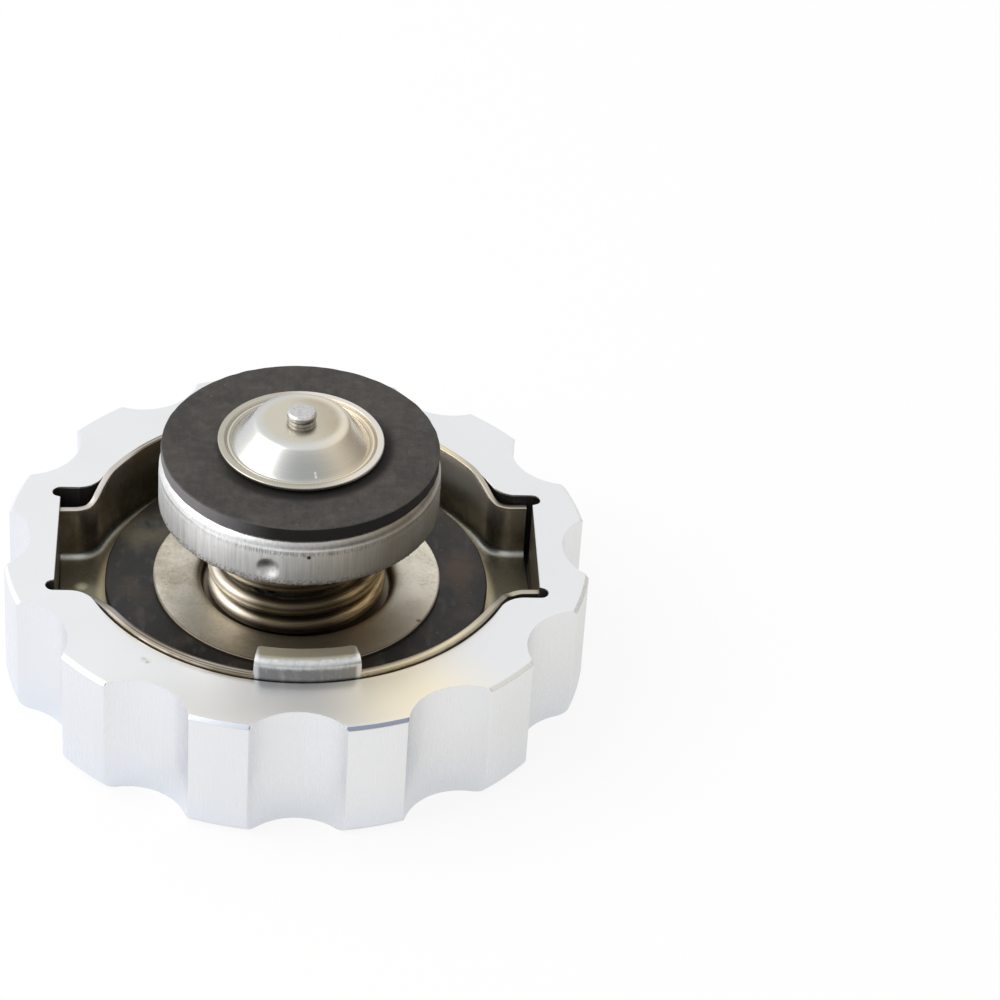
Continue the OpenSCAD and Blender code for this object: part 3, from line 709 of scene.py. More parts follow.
@dataclass(frozen=True)
class OilTemperedWire(Finish):
    """Brown oil-tempered spring wire with lines along it, painted with a highlight on one side and shade in front.
    """

    gold: Color = (0.42, 0.345, 0.235)
    brown: Color = (0.17, 0.13, 0.08)
    dark: Color = (0.075, 0.058, 0.035)
    amber: Color = (0.80, 0.60, 0.32)
    bright_cream: Color = (0.95, 0.88, 0.76)

    def paint(self, g: Graph) -> Look:
        """Noise on the wire's own coordinates: slow along the wire, quick around it."""
        wire = g.node("ShaderNodeAttribute", out="Vector", attribute_name=WIRE)
        x, y, _ = g.split(g.place())
        lines = g.noise(g.stretch(wire, (0.25, 4.0, 4.0)), 1.0, 3.0, 0.65)
        cloud = g.noise(g.stretch(wire, (0.12, 0.7, 0.7)), 1.0, 3.0)
        tone = (lines * 0.45 + cloud * 0.55).above(0.34, 0.66)
        left_highlight = (x + y * 0.4).below(-14.0, -9.5)
        color = g.layers(
            g.blend(tone, self.brown, self.gold),
            # Painted shade on the front of the spring.
            ((-y).above(3.0, 11.0) * 0.7, self.dark),
            # Painted light: the +X side is painted amber.
            (x.above(4.0, 9.0) * tone, self.amber),
            # Painted highlight on the -X side.
            (left_highlight * (0.7 + lines * 0.5), self.bright_cream),
        )
        return Look(color=color, roughness=0.38 + cloud * 0.14, height=lines, relief=0.004)


@dataclass(frozen=True)
class SealRubber(Finish):
    """Dark moulded rubber with a dusty bloom, pale specks, a lighter edge line, a painted shadow and a painted dark
    side paler at -X.
    """

    edge_r: float = 20.1
    dish_r: float = 12.2
    top_z: float = 37.0
    base: Color = (0.036, 0.033, 0.030)
    bloom: Color = (0.072, 0.062, 0.055)
    pale: Color = (0.17, 0.16, 0.145)
    deep: Color = (0.010, 0.0095, 0.008)
    lit_side: Color = (0.20, 0.19, 0.20)

    def paint(self, g: Graph) -> Look:
        """Clouds of bloom in two sizes, scattered specks, and a lighter line along the outer edge."""
        at, x, y, z = g.here()
        rho = g.reach(x, y)
        cloud = g.noise(at, 0.17, 4.0, 0.6)
        blot = g.noise(at, 0.6, 3.0, 0.65)
        grain = g.noise(at, 2.8, 2.0)
        specks = g.specks(at, 0.55, 0.12) * g.noise(at, 0.8, 1.0).above(0.55, 0.65)
        streaks = g.noise(g.stretch(at, (1.8, 0.25, 1.0), (4.0, 9.0, 0.0)), 1.0, 3.0, 0.6)
        mottle = cloud.above(0.35, 0.7) * 0.5 + blot.above(0.4, 0.7) * 0.5 + (grain + streaks - 1.0) * 0.7
        # Painted shadow on the washer in front of and to the right of the dish's rim.
        painted_shadow = rho.below(self.dish_r + 0.5, self.dish_r + 1.9) * (x * 0.5 - y).above(-4.0, 6.0)
        # Painted shade and light on the outer side: dark in shade, paler where lit at -X.
        side = rho.above(self.edge_r - 0.35, self.edge_r - 0.12) * z.below(self.top_z - 0.3, self.top_z - 0.08)
        # A lighter line along the outer edge of the top.
        edge_line = rho.above(self.edge_r - 0.3, self.edge_r - 0.05) * (1 - side) * (0.25 + grain * 0.3)
        color = g.layers(
            g.blend(mottle, self.base, self.bloom),
            (painted_shadow * 0.92, self.deep),
            (side, g.blend((-x - y * 0.3).above(9.0, 20.0), self.deep, self.lit_side)),
            (g.most(specks * 0.35, edge_line * 0.5), self.pale),
        )
        return Look(color=color, roughness=0.52 + cloud * 0.16 + side * 0.25 + painted_shadow * 0.2, metallic=0.0,
                    specular=0.3, height=grain + blot * 1.5 + cloud * 0.6 - specks, relief=0.02)


@dataclass(frozen=True)
class GasketRubber(Finish):
    """Used black gasket: brown dust in patches, most of it on the ring where the neck has sat."""

    track_r: float = 24.5
    straw_reflection_at: Point = (-22.4, 10.0)
    rust_at: Point = (24.0, 3.0)
    base: Color = (0.013, 0.012, 0.011)
    dust: Color = (0.052, 0.037, 0.025)
    ash_and_sheen: Color = (0.050, 0.051, 0.052)
    straw: Color = (0.13, 0.112, 0.068)
    rust: Color = (0.095, 0.062, 0.042)
    pale: Color = (0.14, 0.12, 0.09)

    def paint(self, g: Graph) -> Look:
        """Brown clouds over the track, grey smears and a straw patch that are partly painted sheen, and a few pale
        specks.
        """
        at, x, y, _ = g.here()
        cloud = g.noise(at, 0.14, 4.0, 0.62)
        fine = g.noise(at, 1.3, 3.0)
        track = g.reach(x, y).near(self.track_r, 4.0)
        dust = cloud.above(0.42, 0.68) * (0.35 + track * 0.65)
        sheen_and_smear = g.noise(g.stretch(at, (0.5, 0.22, 1.0), (3.0, 8.0, 0.0)), 1.0, 3.0).above(0.52, 0.68)
        patchy = cloud.above(0.30, 0.60)
        color = g.layers(
            # Grey smears, partly real ash and partly painted sheen.
            g.blend(sheen_and_smear * 0.7, self.base, self.ash_and_sheen),
            (dust * (0.5 + fine), self.dust),
            # A straw patch, partly dust and partly a painted reflection of the shell.
            (g.spot(x, y, self.straw_reflection_at, 0.5, 6.5) * patchy * (0.4 + fine * 0.6), self.straw),
            (g.spot(x, y, self.rust_at, 0.5, 6.0) * patchy * (0.4 + fine * 0.8), self.rust),
            (g.specks(at, 0.45, 0.12) * 0.3, self.pale),
        )
        return Look(color=color, roughness=0.24 + cloud * 0.36 + (fine - 0.5) * 0.2, metallic=0.0, specular=0.34,
                    height=fine + cloud * 2.0, relief=0.04)


@dataclass(frozen=True)
class InnerZinc(Finish):
    """Dull zinc plate of the pieces inside the cap."""

    pale: Color = (0.60, 0.58, 0.53)
    dark: Color = (0.36, 0.32, 0.26)

    def paint(self, g: Graph) -> Look:
        """Clouds of dark film."""
        cloud = g.noise(g.place(), 0.4, 4.0, 0.6)
        color = g.blend(cloud.above(0.35, 0.65), self.pale, self.dark)
        return Look(color=color, roughness=0.30 + cloud * 0.2, height=cloud, relief=0.01)


@dataclass(frozen=True)
class StemHead(Finish):
    """Riveted end of the stem: bright steel with a grey band of painted shade, a painted shadow below the edge and
    a scuffed top.
    """

    top_z: float = 43.05
    painted_shadow_at: Point = (1.15, -1.8)
    bright: Color = (0.68, 0.675, 0.66)
    grey: Color = (0.30, 0.295, 0.29)
    painted_shadow: Color = (0.085, 0.07, 0.055)

    def paint(self, g: Graph) -> Look:
        """Scuffs on the top, a darker band of painted shade below its edge, and greyer sides."""
        at, x, y, z = g.here()
        scuff = g.noise(g.stretch(at, (1.6, 3.0, 1.0)), 1.0, 3.0, 0.65)
        # Painted shade in the fine groove below the top edge.
        groove_shade = z.near(self.top_z - 0.95, 0.3)
        flank = z.below(self.top_z - 0.35, self.top_z - 0.2)
        color = g.layers(
            g.blend(scuff.above(0.35, 0.7) * 0.45 + flank * 0.35 + groove_shade * 0.5, self.bright, self.grey),
            # Painted shadow on the front right of the head below its edge.
            (g.spot(x, y, self.painted_shadow_at, 0.3, 1.3) * z.near(self.top_z - 0.8, 0.6) * 0.9, self.painted_shadow),
        )
        return Look(color=color, roughness=0.26 + scuff * 0.2, height=scuff, relief=0.03)


def make_piece(name: str, patches: Sequence[Patch], finish: Finish, body: Body, nodes: Sequence[str],
               sharp: float = 32.0) -> bpy.types.Object:
    """Puts patches into one mesh object, closes its seams and hands it to the frame.

    Args:
        name: name of the piece.
        patches: its surfaces, in millimetres.
        finish: its finish.
        body: the body that it rides on.
        nodes: the CAD nodes that it stands for.
        sharp: angle in degrees from which an edge is sharp.

    Returns:
        The object.
    """
    starts = np.cumsum([0] + [len(p.points) for p in patches])
    points = np.concatenate([p.points for p in patches]) * MM
    quads = np.concatenate([p.quads + start for p, start in zip(patches, starts)])
    mesh = bpy.data.meshes.new(name)
    mesh.from_pydata(points, [], quads)
    if patches[0].marks is not None:
        marks = mesh.attributes.new(WIRE, "FLOAT_VECTOR", "POINT")
        marks.data.foreach_set("vector", np.concatenate([p.marks for p in patches]).astype(np.float32).ravel())
    work = bmesh.new()
    work.from_mesh(mesh)
    bmesh.ops.remove_doubles(work, verts=work.verts, dist=MERGE * MM)
    bmesh.ops.dissolve_degenerate(work, edges=work.edges, dist=SLIVER * MM)
    bmesh.ops.recalc_face_normals(work, faces=work.faces)
    work.to_mesh(mesh)
    work.free()
    mesh.shade_smooth()
    mesh.set_sharp_from_angle(angle=math.radians(sharp))
    mesh.materials.append(finish.material())
    made = bpy.data.objects.new(name, mesh)
    bpy.context.scene.collection.objects.link(made)
    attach(made, body.value)
    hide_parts(*nodes)
    log.info("%s: %d faces, on %s, for %s", name, len(mesh.polygons), body.value, ", ".join(nodes))
    return made


def dress(finish: Finish, *nodes: str) -> None:
    """Gives CAD nodes a finish in their own material slots."""
    for node in nodes:
        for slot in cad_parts[node].material_slots:
            slot.material = finish.material()
        log.info("%s: CAD node dressed in %s", node, finish.name)


@dataclass
class BilletCover:
    """The scalloped cover, with its pocket, slots and corner reliefs."""

    radius: float = 43.0
    height: float = 19.5
    edge_r: float = 1.6
    bevel: float = 0.5
    scallops: int = 12
    scallop_r: float = 8.5
    scallop_depth: float = 4.1
    break_r: float = 0.22
    floor_z: float = 8.3
    pocket_r: float = 32.65
    slot_half: float = 12.4
    slot_reach: float = 35.05
    slot_corner_r: float = 4.0
    relief_r: float = 1.2
    mouth_bevel: float = 0.06
    recess_r: float = 7.0
    recess_z: float = 6.5
    wall_mid: float = 14.0
    crisp_r: float = 0.06

    @property
    def scallop_at(self) -> float:
        """Distance of the scallops' middles from the axis."""
        return self.radius - self.scallop_depth + self.scallop_r

    def bearings(self) -> Array:
        """Bearings around the axis, closer together at the lobes' edges and at the slots' corners."""
        fine = np.linspace(-0.9, 0.9, 13)
        reach = self.scallop_at
        edge = math.degrees(math.acos((self.radius**2 + reach**2 - self.scallop_r**2) / (2 * self.radius * reach)))
        middles = np.arange(self.scallops) * 360.0 / self.scallops
        lobes = (middles[:, None, None] + np.array([-edge, edge])[None, :, None] + fine).ravel()
        slots = (np.array([0.0, 180.0])[:, None, None] + np.array([-1.0, 1.0])[None, :, None]
                 * np.linspace(15.0, 27.0, 100)).ravel()
        every = np.concatenate([np.arange(0, 360, 0.6), lobes, slots]) % 360.0
        return np.radians(np.unique(np.round(every, 4)))

    def scalloped(self, theta: Array) -> Array:
        """Radius at which the scallops cut: where a ray first meets the nearest scallop's circle, else far away."""
        step = TAU / self.scallops
        off = (theta + step / 2) % step - step / 2
        reach = self.scallop_at
        inside = self.scallop_r**2 - (reach * np.sin(off)) ** 2
        near = reach * np.cos(off) - np.sqrt(np.maximum(inside, 0))
        return np.where(inside > 0, near, near + np.sqrt(np.maximum(-inside, 0)))

    def softened(self, first: Array, second: Array) -> Array:
        """The lesser of two radii, with the corner between them rounded: a smooth minimum over break_r."""
        gap = np.clip(self.break_r - np.abs(first - second), 0, None)
        return np.minimum(first, second) - gap**2 / (4 * self.break_r)

    def pocket(self, theta: Array) -> Array:
        """Radius of the pocket's outline: the furthest of circle, slot, corner fillets and reliefs along a ray."""
        c, s = np.abs(np.cos(theta)), np.abs(np.sin(theta))
        bearing = np.arctan2(s, c)
        slot = np.minimum(self.slot_reach / np.maximum(c, 1e-9), self.slot_half / np.maximum(s, 1e-9))
        cy = self.slot_half + self.slot_corner_r
        cx = math.sqrt((self.pocket_r + self.slot_corner_r) ** 2 - cy**2)
        along, across = cx * c + cy * s, cx * s - cy * c
        fillet = along - np.sqrt(np.maximum(self.slot_corner_r**2 - across**2, 0))
        spans = (bearing > math.atan2(self.slot_half, cx)) & (bearing < math.atan2(cy, cx))
        ry = self.slot_half - self.relief_r
        along, across = self.slot_reach * c + ry * s, self.slot_reach * s - ry * c
        far = along + np.sqrt(np.maximum(self.relief_r**2 - across**2, 0))
        relief = np.where(np.abs(across) < self.relief_r, far, 0)
        return np.maximum.reduce([np.full_like(c, self.pocket_r), slot, np.where(spans, fillet, 0), relief])

    def build(self) -> Patch:
        """One closed grid: bearing by place on the section.

        The outside is a turned profile cut to the scallops' radius, the smooth minimum of the two. The open face
        runs straight from that outline to the pocket's, and the pocket's wall drops from there to its floor.
        """
        theta = self.bearings()[:, None]
        cut = self.scalloped(theta)
        turned = rounded_line([
            (self.radius - 2 * self.edge_r, 0, 0), (self.radius, 0, self.edge_r),
            (self.radius, self.height - self.bevel, self.crisp_r),
            (self.radius - self.bevel, self.height, self.crisp_r),
            (self.radius - 3 * self.bevel, self.height, 0)], closed=False)
        turned = refined(turned[1:-1], 3.0, closed=False)
        wall_r = self.softened(np.broadcast_to(turned[None, :, 0], (len(theta), len(turned))), cut)
        wall_z = np.broadcast_to(turned[None, :, 1], wall_r.shape)
        inner = self.pocket(theta)
        mouth = inner + self.mouth_bevel
        share = np.linspace(0, 1, 7)[None, 1:]
        face_r = wall_r[:, -1:] + (mouth - wall_r[:, -1:]) * share
        drop = np.array([[self.height - self.mouth_bevel, self.wall_mid, self.floor_z]])
        floor = np.array([[0.75, 0.5]])
        recess = np.array([[self.recess_r, self.recess_r, 0.0]])
        recess_z = np.array([[self.floor_z, self.recess_z, self.recess_z]])
        base = np.array([[0.0, 0.35, 0.7, 0.9]])
        ones = np.ones_like(theta)
        radius = np.hstack([wall_r[:, :1] * base, wall_r, face_r, inner * np.ones_like(drop), inner * floor,
                            ones * recess])
        height = np.hstack([ones * np.zeros_like(base), wall_z, self.height * np.ones_like(face_r), ones * drop,
                            ones * self.floor_z * np.ones_like(floor), ones * recess_z])
        return grid(np.stack([radius * np.cos(theta), radius * np.sin(theta), height], -1), wrap_u=True)

    def dress(self) -> None:
        """Makes the piece in its anodised finish."""
        make_piece("cover", [self.build()], AnodisedBillet("anodised_billet"), Body.CAP,
                   ["billet_cover"], sharp=24.0)


@dataclass
class CapShell:
    """The stamped bayonet shell: a dished pan with two open ears and two cam tabs."""

    floor_z: float = 8.3
    sheet_t: float = 1.0
    bore_r: float = 31.4
    rim_z: float = 20.3
    ear_drop: float = 2.3
    drop_start: float = 26.4
    drop_end: float = 30.6
    bend_r: float = 1.2
    ear_half: float = 9.8
    ear_reach: float = 34.7
    corner_r: float = 4.0
    rim_round: float = 0.2
    turn: float = 2.2
    tab_half: float = 13.5
    tab_top: float = 22.9
    tab_inner_r: float = 29.2
    tab_bend_r: float = 0.4
    tab_corner_r: float = 0.5
    tab_flare: float = 0.25
    tab_skin: float = 0.01
    tab_foot: float = 0.6

    @property
    def bend_z(self) -> float:
        """Height of the middle of the bend between floor and wall."""
        return self.floor_z + self.sheet_t + self.bend_r

    def wall_line(self) -> tuple:
        """The front wall in plan, from the right ear's end to the left one's, with the normals that point inwards.

        The line is straight along the ear, turns round a fillet whose centre lies outside, and follows the bore.
        """
        cy = -(self.ear_half + self.corner_r)
        cx = math.sqrt((self.bore_r + self.corner_r) ** 2 - cy**2)
        ear = np.stack([np.linspace(self.ear_reach, cx, 6)[:-1], np.full(5, -self.ear_half)], -1)
        angle = np.linspace(QUARTER, math.atan2(-cy, -cx), 16)[:, None]
        out = np.hstack([np.cos(angle), np.sin(angle)])
        bearing = np.linspace(math.atan2(cy, cx), -QUARTER, 90)[1:, None]
        round_out = np.hstack([np.cos(bearing), np.sin(bearing)])
        line = np.vstack([ear, np.array([[cx, cy]]) + self.corner_r * out, self.bore_r * round_out])
        normal = np.vstack([np.broadcast_to([0.0, 1.0], ear.shape), out, -round_out])
        mirror = np.array([[-1.0, 1.0]])
        return np.vstack([line, line[-2::-1] * mirror]), np.vstack([normal, normal[-2::-1] * mirror])

    def section(self, out: float) -> Array:
        """Distance from the wall and height of a face's section, from the rim down and round the bend.

        Args:
            out: 0 for the inner face, or the sheet's thickness for the outer one.

        Returns:
            The points; the distance is counted inwards from the inner face.
        """
        side = -1.0 if out == 0 else 1.0
        crown = np.linspace(QUARTER, 0, 5)[:, None]
        low = self.rim_z - self.rim_round
        rim = np.hstack([-out + side * self.rim_round * (1 - np.cos(crown)), low + self.rim_round * np.sin(crown)])
        wall = np.stack([np.full(8, -out), np.linspace(low, self.bend_z, 9)[1:]], -1)
        angle = np.linspace(math.pi, 1.5 * math.pi, 11)[1:, None]
        radius = self.bend_r + out
        bend = np.hstack([self.bend_r + radius * np.cos(angle), self.bend_z + radius * np.sin(angle)])
        return np.vstack([rim, wall, bend])

    def pan_face(self, out: float) -> Array:
        """Grid of one face of the pan: along the wall by across it, front rim to floor to back rim.

        Above the bend, heights are scaled so that the rim falls by half a cosine wave from the round wall to the
        ears.
        """
        line, normal = self.wall_line()
        section = self.section(out)
        plan = line[:, None, :] + normal[:, None, :] * section[None, :, :1]
        share = np.clip((np.abs(line[:, :1]) - self.drop_start) / (self.drop_end - self.drop_start), 0, 1)
        rim = self.rim_z - self.ear_drop * (1 - np.cos(math.pi * share)) / 2
        over = section[None, :, 1] - self.bend_z
        eased = over * (rim - self.bend_z) / (self.rim_z - self.bend_z)
        height = self.bend_z + np.where(over > 0, eased, over)
        front = np.concatenate([plan, height[..., None]], -1)
        back = front[:, ::-1] * np.array([1.0, -1.0, 1.0])
        share = np.linspace(0, 1, 8)[None, 1:-1, None]
        floor = front[:, -1:] * (1 - share) + back[:, :1] * share
        return np.concatenate([front, floor, back], 1)

    def tab_face(self, out: float) -> Array:
        """Grid of one face of a tab about +Y: bearing by a section up the wall, round the bend and inwards.

        The half width grows in a small fillet at the foot and shrinks round the free corners.
        """
        centre = np.array([self.bore_r - self.tab_bend_r, self.tab_top - self.sheet_t - self.tab_bend_r])
        radius = self.tab_bend_r + out + (self.tab_skin if out else -self.tab_skin)
        rise = np.linspace(self.rim_z - self.tab_foot, centre[1], 10)
        foot = np.stack([np.full(10, centre[0] + radius), rise], -1)
        angle = np.linspace(0, QUARTER, 10)[1:, None]
        bend = centre + radius * np.hstack([np.cos(angle), np.sin(angle)])
        reach = np.linspace(centre[0], self.tab_inner_r, 12)[1:]
        flange = np.stack([reach, np.full(11, centre[1] + radius)], -1)
        line = np.vstack([foot, bend, flange])
        lift = self.tab_flare - np.clip(line[:, 1] - self.rim_z, 0, self.tab_flare)
        flare = (self.tab_flare - np.sqrt(self.tab_flare**2 - lift**2)) * (line[:, 0] > centre[0])
        free = np.clip(line[:, 0] - self.tab_inner_r, 0, self.tab_corner_r)
        pared = self.tab_corner_r - np.sqrt(self.tab_corner_r**2 - (self.tab_corner_r - free) ** 2)
        half = math.radians(self.tab_half) + (flare - pared) / self.bore_r
        bearing = QUARTER + np.linspace(-1, 1, 41)[:, None] * half[None, :]
        height = np.broadcast_to(line[None, :, 1], bearing.shape)
        return np.stack([line[:, 0] * np.cos(bearing), line[:, 0] * np.sin(bearing), height], -1)

    def dress(self) -> None:
        """Makes the shell in its plated finish, turned in its slots."""
        patches = [sheet(self.pan_face(0.0), self.pan_face(self.sheet_t))]
        for side in (1.0, -1.0):
            flip = np.array([side, side, 1.0])
            patches.append(sheet(self.tab_face(0.0) * flip, self.tab_face(self.sheet_t) * flip))
        c, s = math.cos(math.radians(self.turn)), math.sin(math.radians(self.turn))
        spin = np.array([[c, s, 0.0], [-s, c, 0.0], [0.0, 0.0, 1.0]])
        for patch in patches:
            patch.points = patch.points @ spin
        make_piece("shell", patches, PlatedShell("shell_plating"), Body.CAP, ["cap_shell"], sharp=40.0)


@dataclass
class NeckSeal:
    """The gasket that seals on the neck's lip."""

    bore_r: float = 15.1
    radius: float = 28.2
    low_z: float = 11.3
    high_z: float = 12.9
    edge_r: float = 0.3
    bore_edge_r: float = 0.2
    sway: float = 0.05

    def build(self) -> Patch:
        """A ring with rounded edges and a slightly uneven outer edge."""
        ring = rounded_line([(self.bore_r, self.low_z, self.bore_edge_r), (self.radius, self.low_z, self.edge_r),
                             (self.radius, self.high_z, self.edge_r), (self.bore_r, self.high_z, self.bore_edge_r)])
        uneven = wander(self.sway, lambda r: (r - self.bore_r) / (self.radius - self.bore_r), 5, 2, 40)
        return lathe(refined(ring, 2.0), 360, uneven)

    def dress(self) -> None:
        """Makes the gasket in its used rubber."""
        make_piece("gasket", [self.build()], GasketRubber("gasket_rubber"), Body.CARRIER,
                   ["neck_gasket"])


@dataclass(frozen=True)
class Coil:
    """A spring of round wire with closed and ground ends."""

    wire_r: float
    coil_r: float
    low: float
    high: float
    turns: float
    start: float
    ground: float = 0.25
    closed_gap: float = 0.08
    ease: float = 0.12
    steps: int = 110
    sides: int = 28

    def level(self, turn: Array) -> Array:
        """Height of the wire's middle: a closed turn at each end, even pitch between, eased by a short average."""
        closed = 2 * self.wire_r + self.closed_gap
        first = self.low + 2 * self.ground * self.wire_r
        pitch = (self.high - self.low - 4 * self.ground * self.wire_r - 2 * closed) / (self.turns - 2)
        t = turn[:, None] + np.linspace(-self.ease, self.ease, 25)
        height = (first + closed * np.minimum(t, 1) + pitch * np.clip(t - 1, 0, self.turns - 2)
                  + closed * np.maximum(0, t - self.turns + 1))
        return height.mean(1)

    def build(self) -> Patch:
        """Tube about the helix: a circle in the plane of the axis, carried up the wire, flat where it is ground."""
        turn = np.linspace(0, self.turns, int(self.turns * self.steps) + 1)
        around = np.linspace(0, TAU, self.sides, endpoint=False)[None, :]
        angle = math.radians(self.start) + turn[:, None] * TAU
        radius = self.coil_r + self.wire_r * np.cos(around)
        height = np.clip(self.level(turn)[:, None] + self.wire_r * np.sin(around), self.low, self.high)
        points = np.stack([radius * np.cos(angle), radius * np.sin(angle), height], -1)
        caps = points.mean(1, keepdims=True)[[0, -1]]
        points = np.concatenate([np.broadcast_to(caps[:1], points[:1].shape), points,
                                 np.broadcast_to(caps[1:], points[:1].shape)])
        along = np.concatenate([turn[:1], turn, turn[-1:]])[:, None] * TAU * self.coil_r
        shape = points.shape[:2]
        marks = np.stack([np.broadcast_to(c, shape) for c in (along, np.cos(around), np.sin(around))], -1)
        return grid(points, wrap_v=True, marks=marks)

    def dress(self, name: str, node: str, body: Body, joint: str, anchor: float, travel: float) -> None:
        """Makes the spring.

        Args:
            name: name of the piece.
            node: the CAD node that it stands for.
            body: the body that it rides on.
            joint: not used.
            anchor: not used.
            travel: not used.
        """
        made = make_piece(name, [self.build()], OilTemperedWire("oil_tempered_wire"), body, [node])
        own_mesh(made)


@dataclass
class SpringCarrier:
    """The seat disc with its well, and the main spring that stands in it."""

    hole_r: float = 2.55
    floor_z: float = 10.9
    sheet_t: float = 0.6
    well_r: float = 14.0
    flange_z: float = 12.9
    radius: float = 21.15
    bend_r: float = 0.5
    spring: Coil = Coil(wire_r=1.3, coil_r=11.8, low=11.5, high=33.0, turns=5.5, start=119.0)
    travel: float = 4.5

    def seat(self) -> Patch:
        """The seat: a sheet turned about the axis, with bends inside and outside the well's wall."""
        t, b = self.sheet_t, self.bend_r
        ring = rounded_line([
            (self.hole_r, self.floor_z + t, 0.05), (self.well_r, self.floor_z + t, b),
            (self.well_r, self.flange_z + t, b + t), (self.radius, self.flange_z + t, 0.2),
            (self.radius, self.flange_z, 0.1), (self.well_r + t, self.flange_z, b),
            (self.well_r + t, self.floor_z, b + t), (self.hole_r, self.floor_z, 0.05)])
        return lathe(refined(ring, 2.0), 360)

    def dress(self) -> None:
        """Makes the seat and the spring, and dresses what is inside."""
        make_piece("seat_disc", [self.seat()], SeatDisc("seat_disc"), Body.CARRIER, ["spring_seat"])
        self.spring.dress("main_coil", "main_spring", Body.CARRIER, "pressure_lift", self.spring.low, self.travel)
        dress(InnerZinc("inner_zinc"), "spring_bell", "diaphragm_spring")


@dataclass
class PressureValve:
    """The drum with its stake dimples, and the rubber washer on it."""

    radius: float = 20.4
    low_z: float = 27.2
    top_z: float = 34.8
    sheet_t: float = 1.0
    shoulder_r: float = 2.0
    collar_r: float = 7.2
    lip: float = 0.8
    lip_t: float = 0.5
    washer_t: float = 2.2
    washer_r: float = 20.1
    washer_bore_r: float = 8.22
    washer_edge_r: float = 0.22
    washer_sway: float = 0.04
    dimples: tuple[float, ...] = (257.0, 17.0, 137.0)
    dimple_z: float = 29.7
    dimple_r: float = 1.5
    dimple_depth: float = 0.8
    dimple_rim: float = 0.03
    crease: float = 0.07
    crease_h: float = 0.22
    burr: float = 0.07
    burr_h: float = 0.9
    sway: float = 0.05

    def staked(self, theta: Array, r: Array, z: Array) -> tuple:
        """Presses in the crease and the dimples, caps of a ball with a soft rim, and roughens the lower edge."""
        ball = (self.dimple_r**2 + self.dimple_depth**2) / (2 * self.dimple_depth)
        wall = (r > self.radius - 1.5 * self.sheet_t) & (z < self.top_z - self.shoulder_r + 0.5)
        press = np.zeros_like(theta * r)
        for bearing in self.dimples:
            across = bent_round(theta, bearing) * self.radius
            inside = np.maximum(ball**2 - across**2 - (z - self.dimple_z) ** 2, 0)
            cap = np.sqrt(inside) - (ball - self.dimple_depth)
            press = press + 0.5 * (cap + np.sqrt(cap**2 + self.dimple_rim)) * (cap > -0.9)
        edge = np.clip(1 - (z - self.low_z) / self.burr_h, 0, 1) ** 2
        rough = self.burr * ripple(theta, 11, 40, 260, 40) + self.sway * ripple(theta, 12, 3, 12)
        out = 0.04 * ripple(theta, 13, 2, 7) + 0.015 * ripple(theta, 14, 20, 90)
        off = (z - (self.top_z - self.shoulder_r - 0.05)) / self.crease_h
        crease = self.crease * np.exp(-(off**2)) * (r > self.radius - 0.5)
        ragged = self.sway * edge * ripple(theta, 15, 30, 200, 40)
        return r - np.where(wall, press - out * 0.6, 0) - crease - ragged, z + edge * rough

    def drum(self) -> Patch:
        """The drum: a drawn cup turned about the axis, open below, with a collar rolled over the washer."""
        t = self.sheet_t
        top = self.top_z + self.washer_t
        outer = self.collar_r + t
        ring = rounded_line([
            (self.radius, self.low_z, 0.3), (self.radius, self.top_z, self.shoulder_r), (outer, self.top_z, 0.1),
            (outer, top, 0.05), (outer + self.lip, top, 0.1), (outer + self.lip, top + self.lip_t, 0.2),
            (self.collar_r, top + self.lip_t, 0.3), (self.collar_r, self.top_z - t, 0.3),
            (self.radius - t, self.top_z - t, self.shoulder_r - t), (self.radius - t, self.low_z, 0.3)], steps=7)
        legs = np.minimum(ring[:, 1], np.roll(ring[:, 1], -1)) < self.top_z - self.shoulder_r + 0.2
        return lathe(refined(ring, np.where(legs, 0.3, 4.0)), 600, self.staked)

    def washer(self) -> Patch:
        """The washer: a ring with worn edges, its rim a little uneven."""
        ring = rounded_line([
            (self.washer_bore_r, self.top_z, 0.05), (self.washer_r, self.top_z, self.washer_edge_r),
            (self.washer_r, self.top_z + self.washer_t, self.washer_edge_r),
            (self.washer_bore_r, self.top_z + self.washer_t, 0.05)])
        uneven = wander(self.washer_sway, lambda r: r > self.washer_r - 1, 21, 3, 50)
        return lathe(refined(ring, 1.5), 360, uneven)

    def dress(self) -> None:
        """Makes the drum and the washer, and dresses the plate that is inside the drum."""
        make_piece("drum", [self.drum()], DrawnDrum("drawn_drum"), Body.PRESSURE, ["valve_drum"])
        make_piece("seat_washer", [self.washer()], SealRubber("seal_rubber"), Body.PRESSURE,
                   ["valve_washer"])
        dress(InnerZinc("inner_zinc"), "valve_plate")


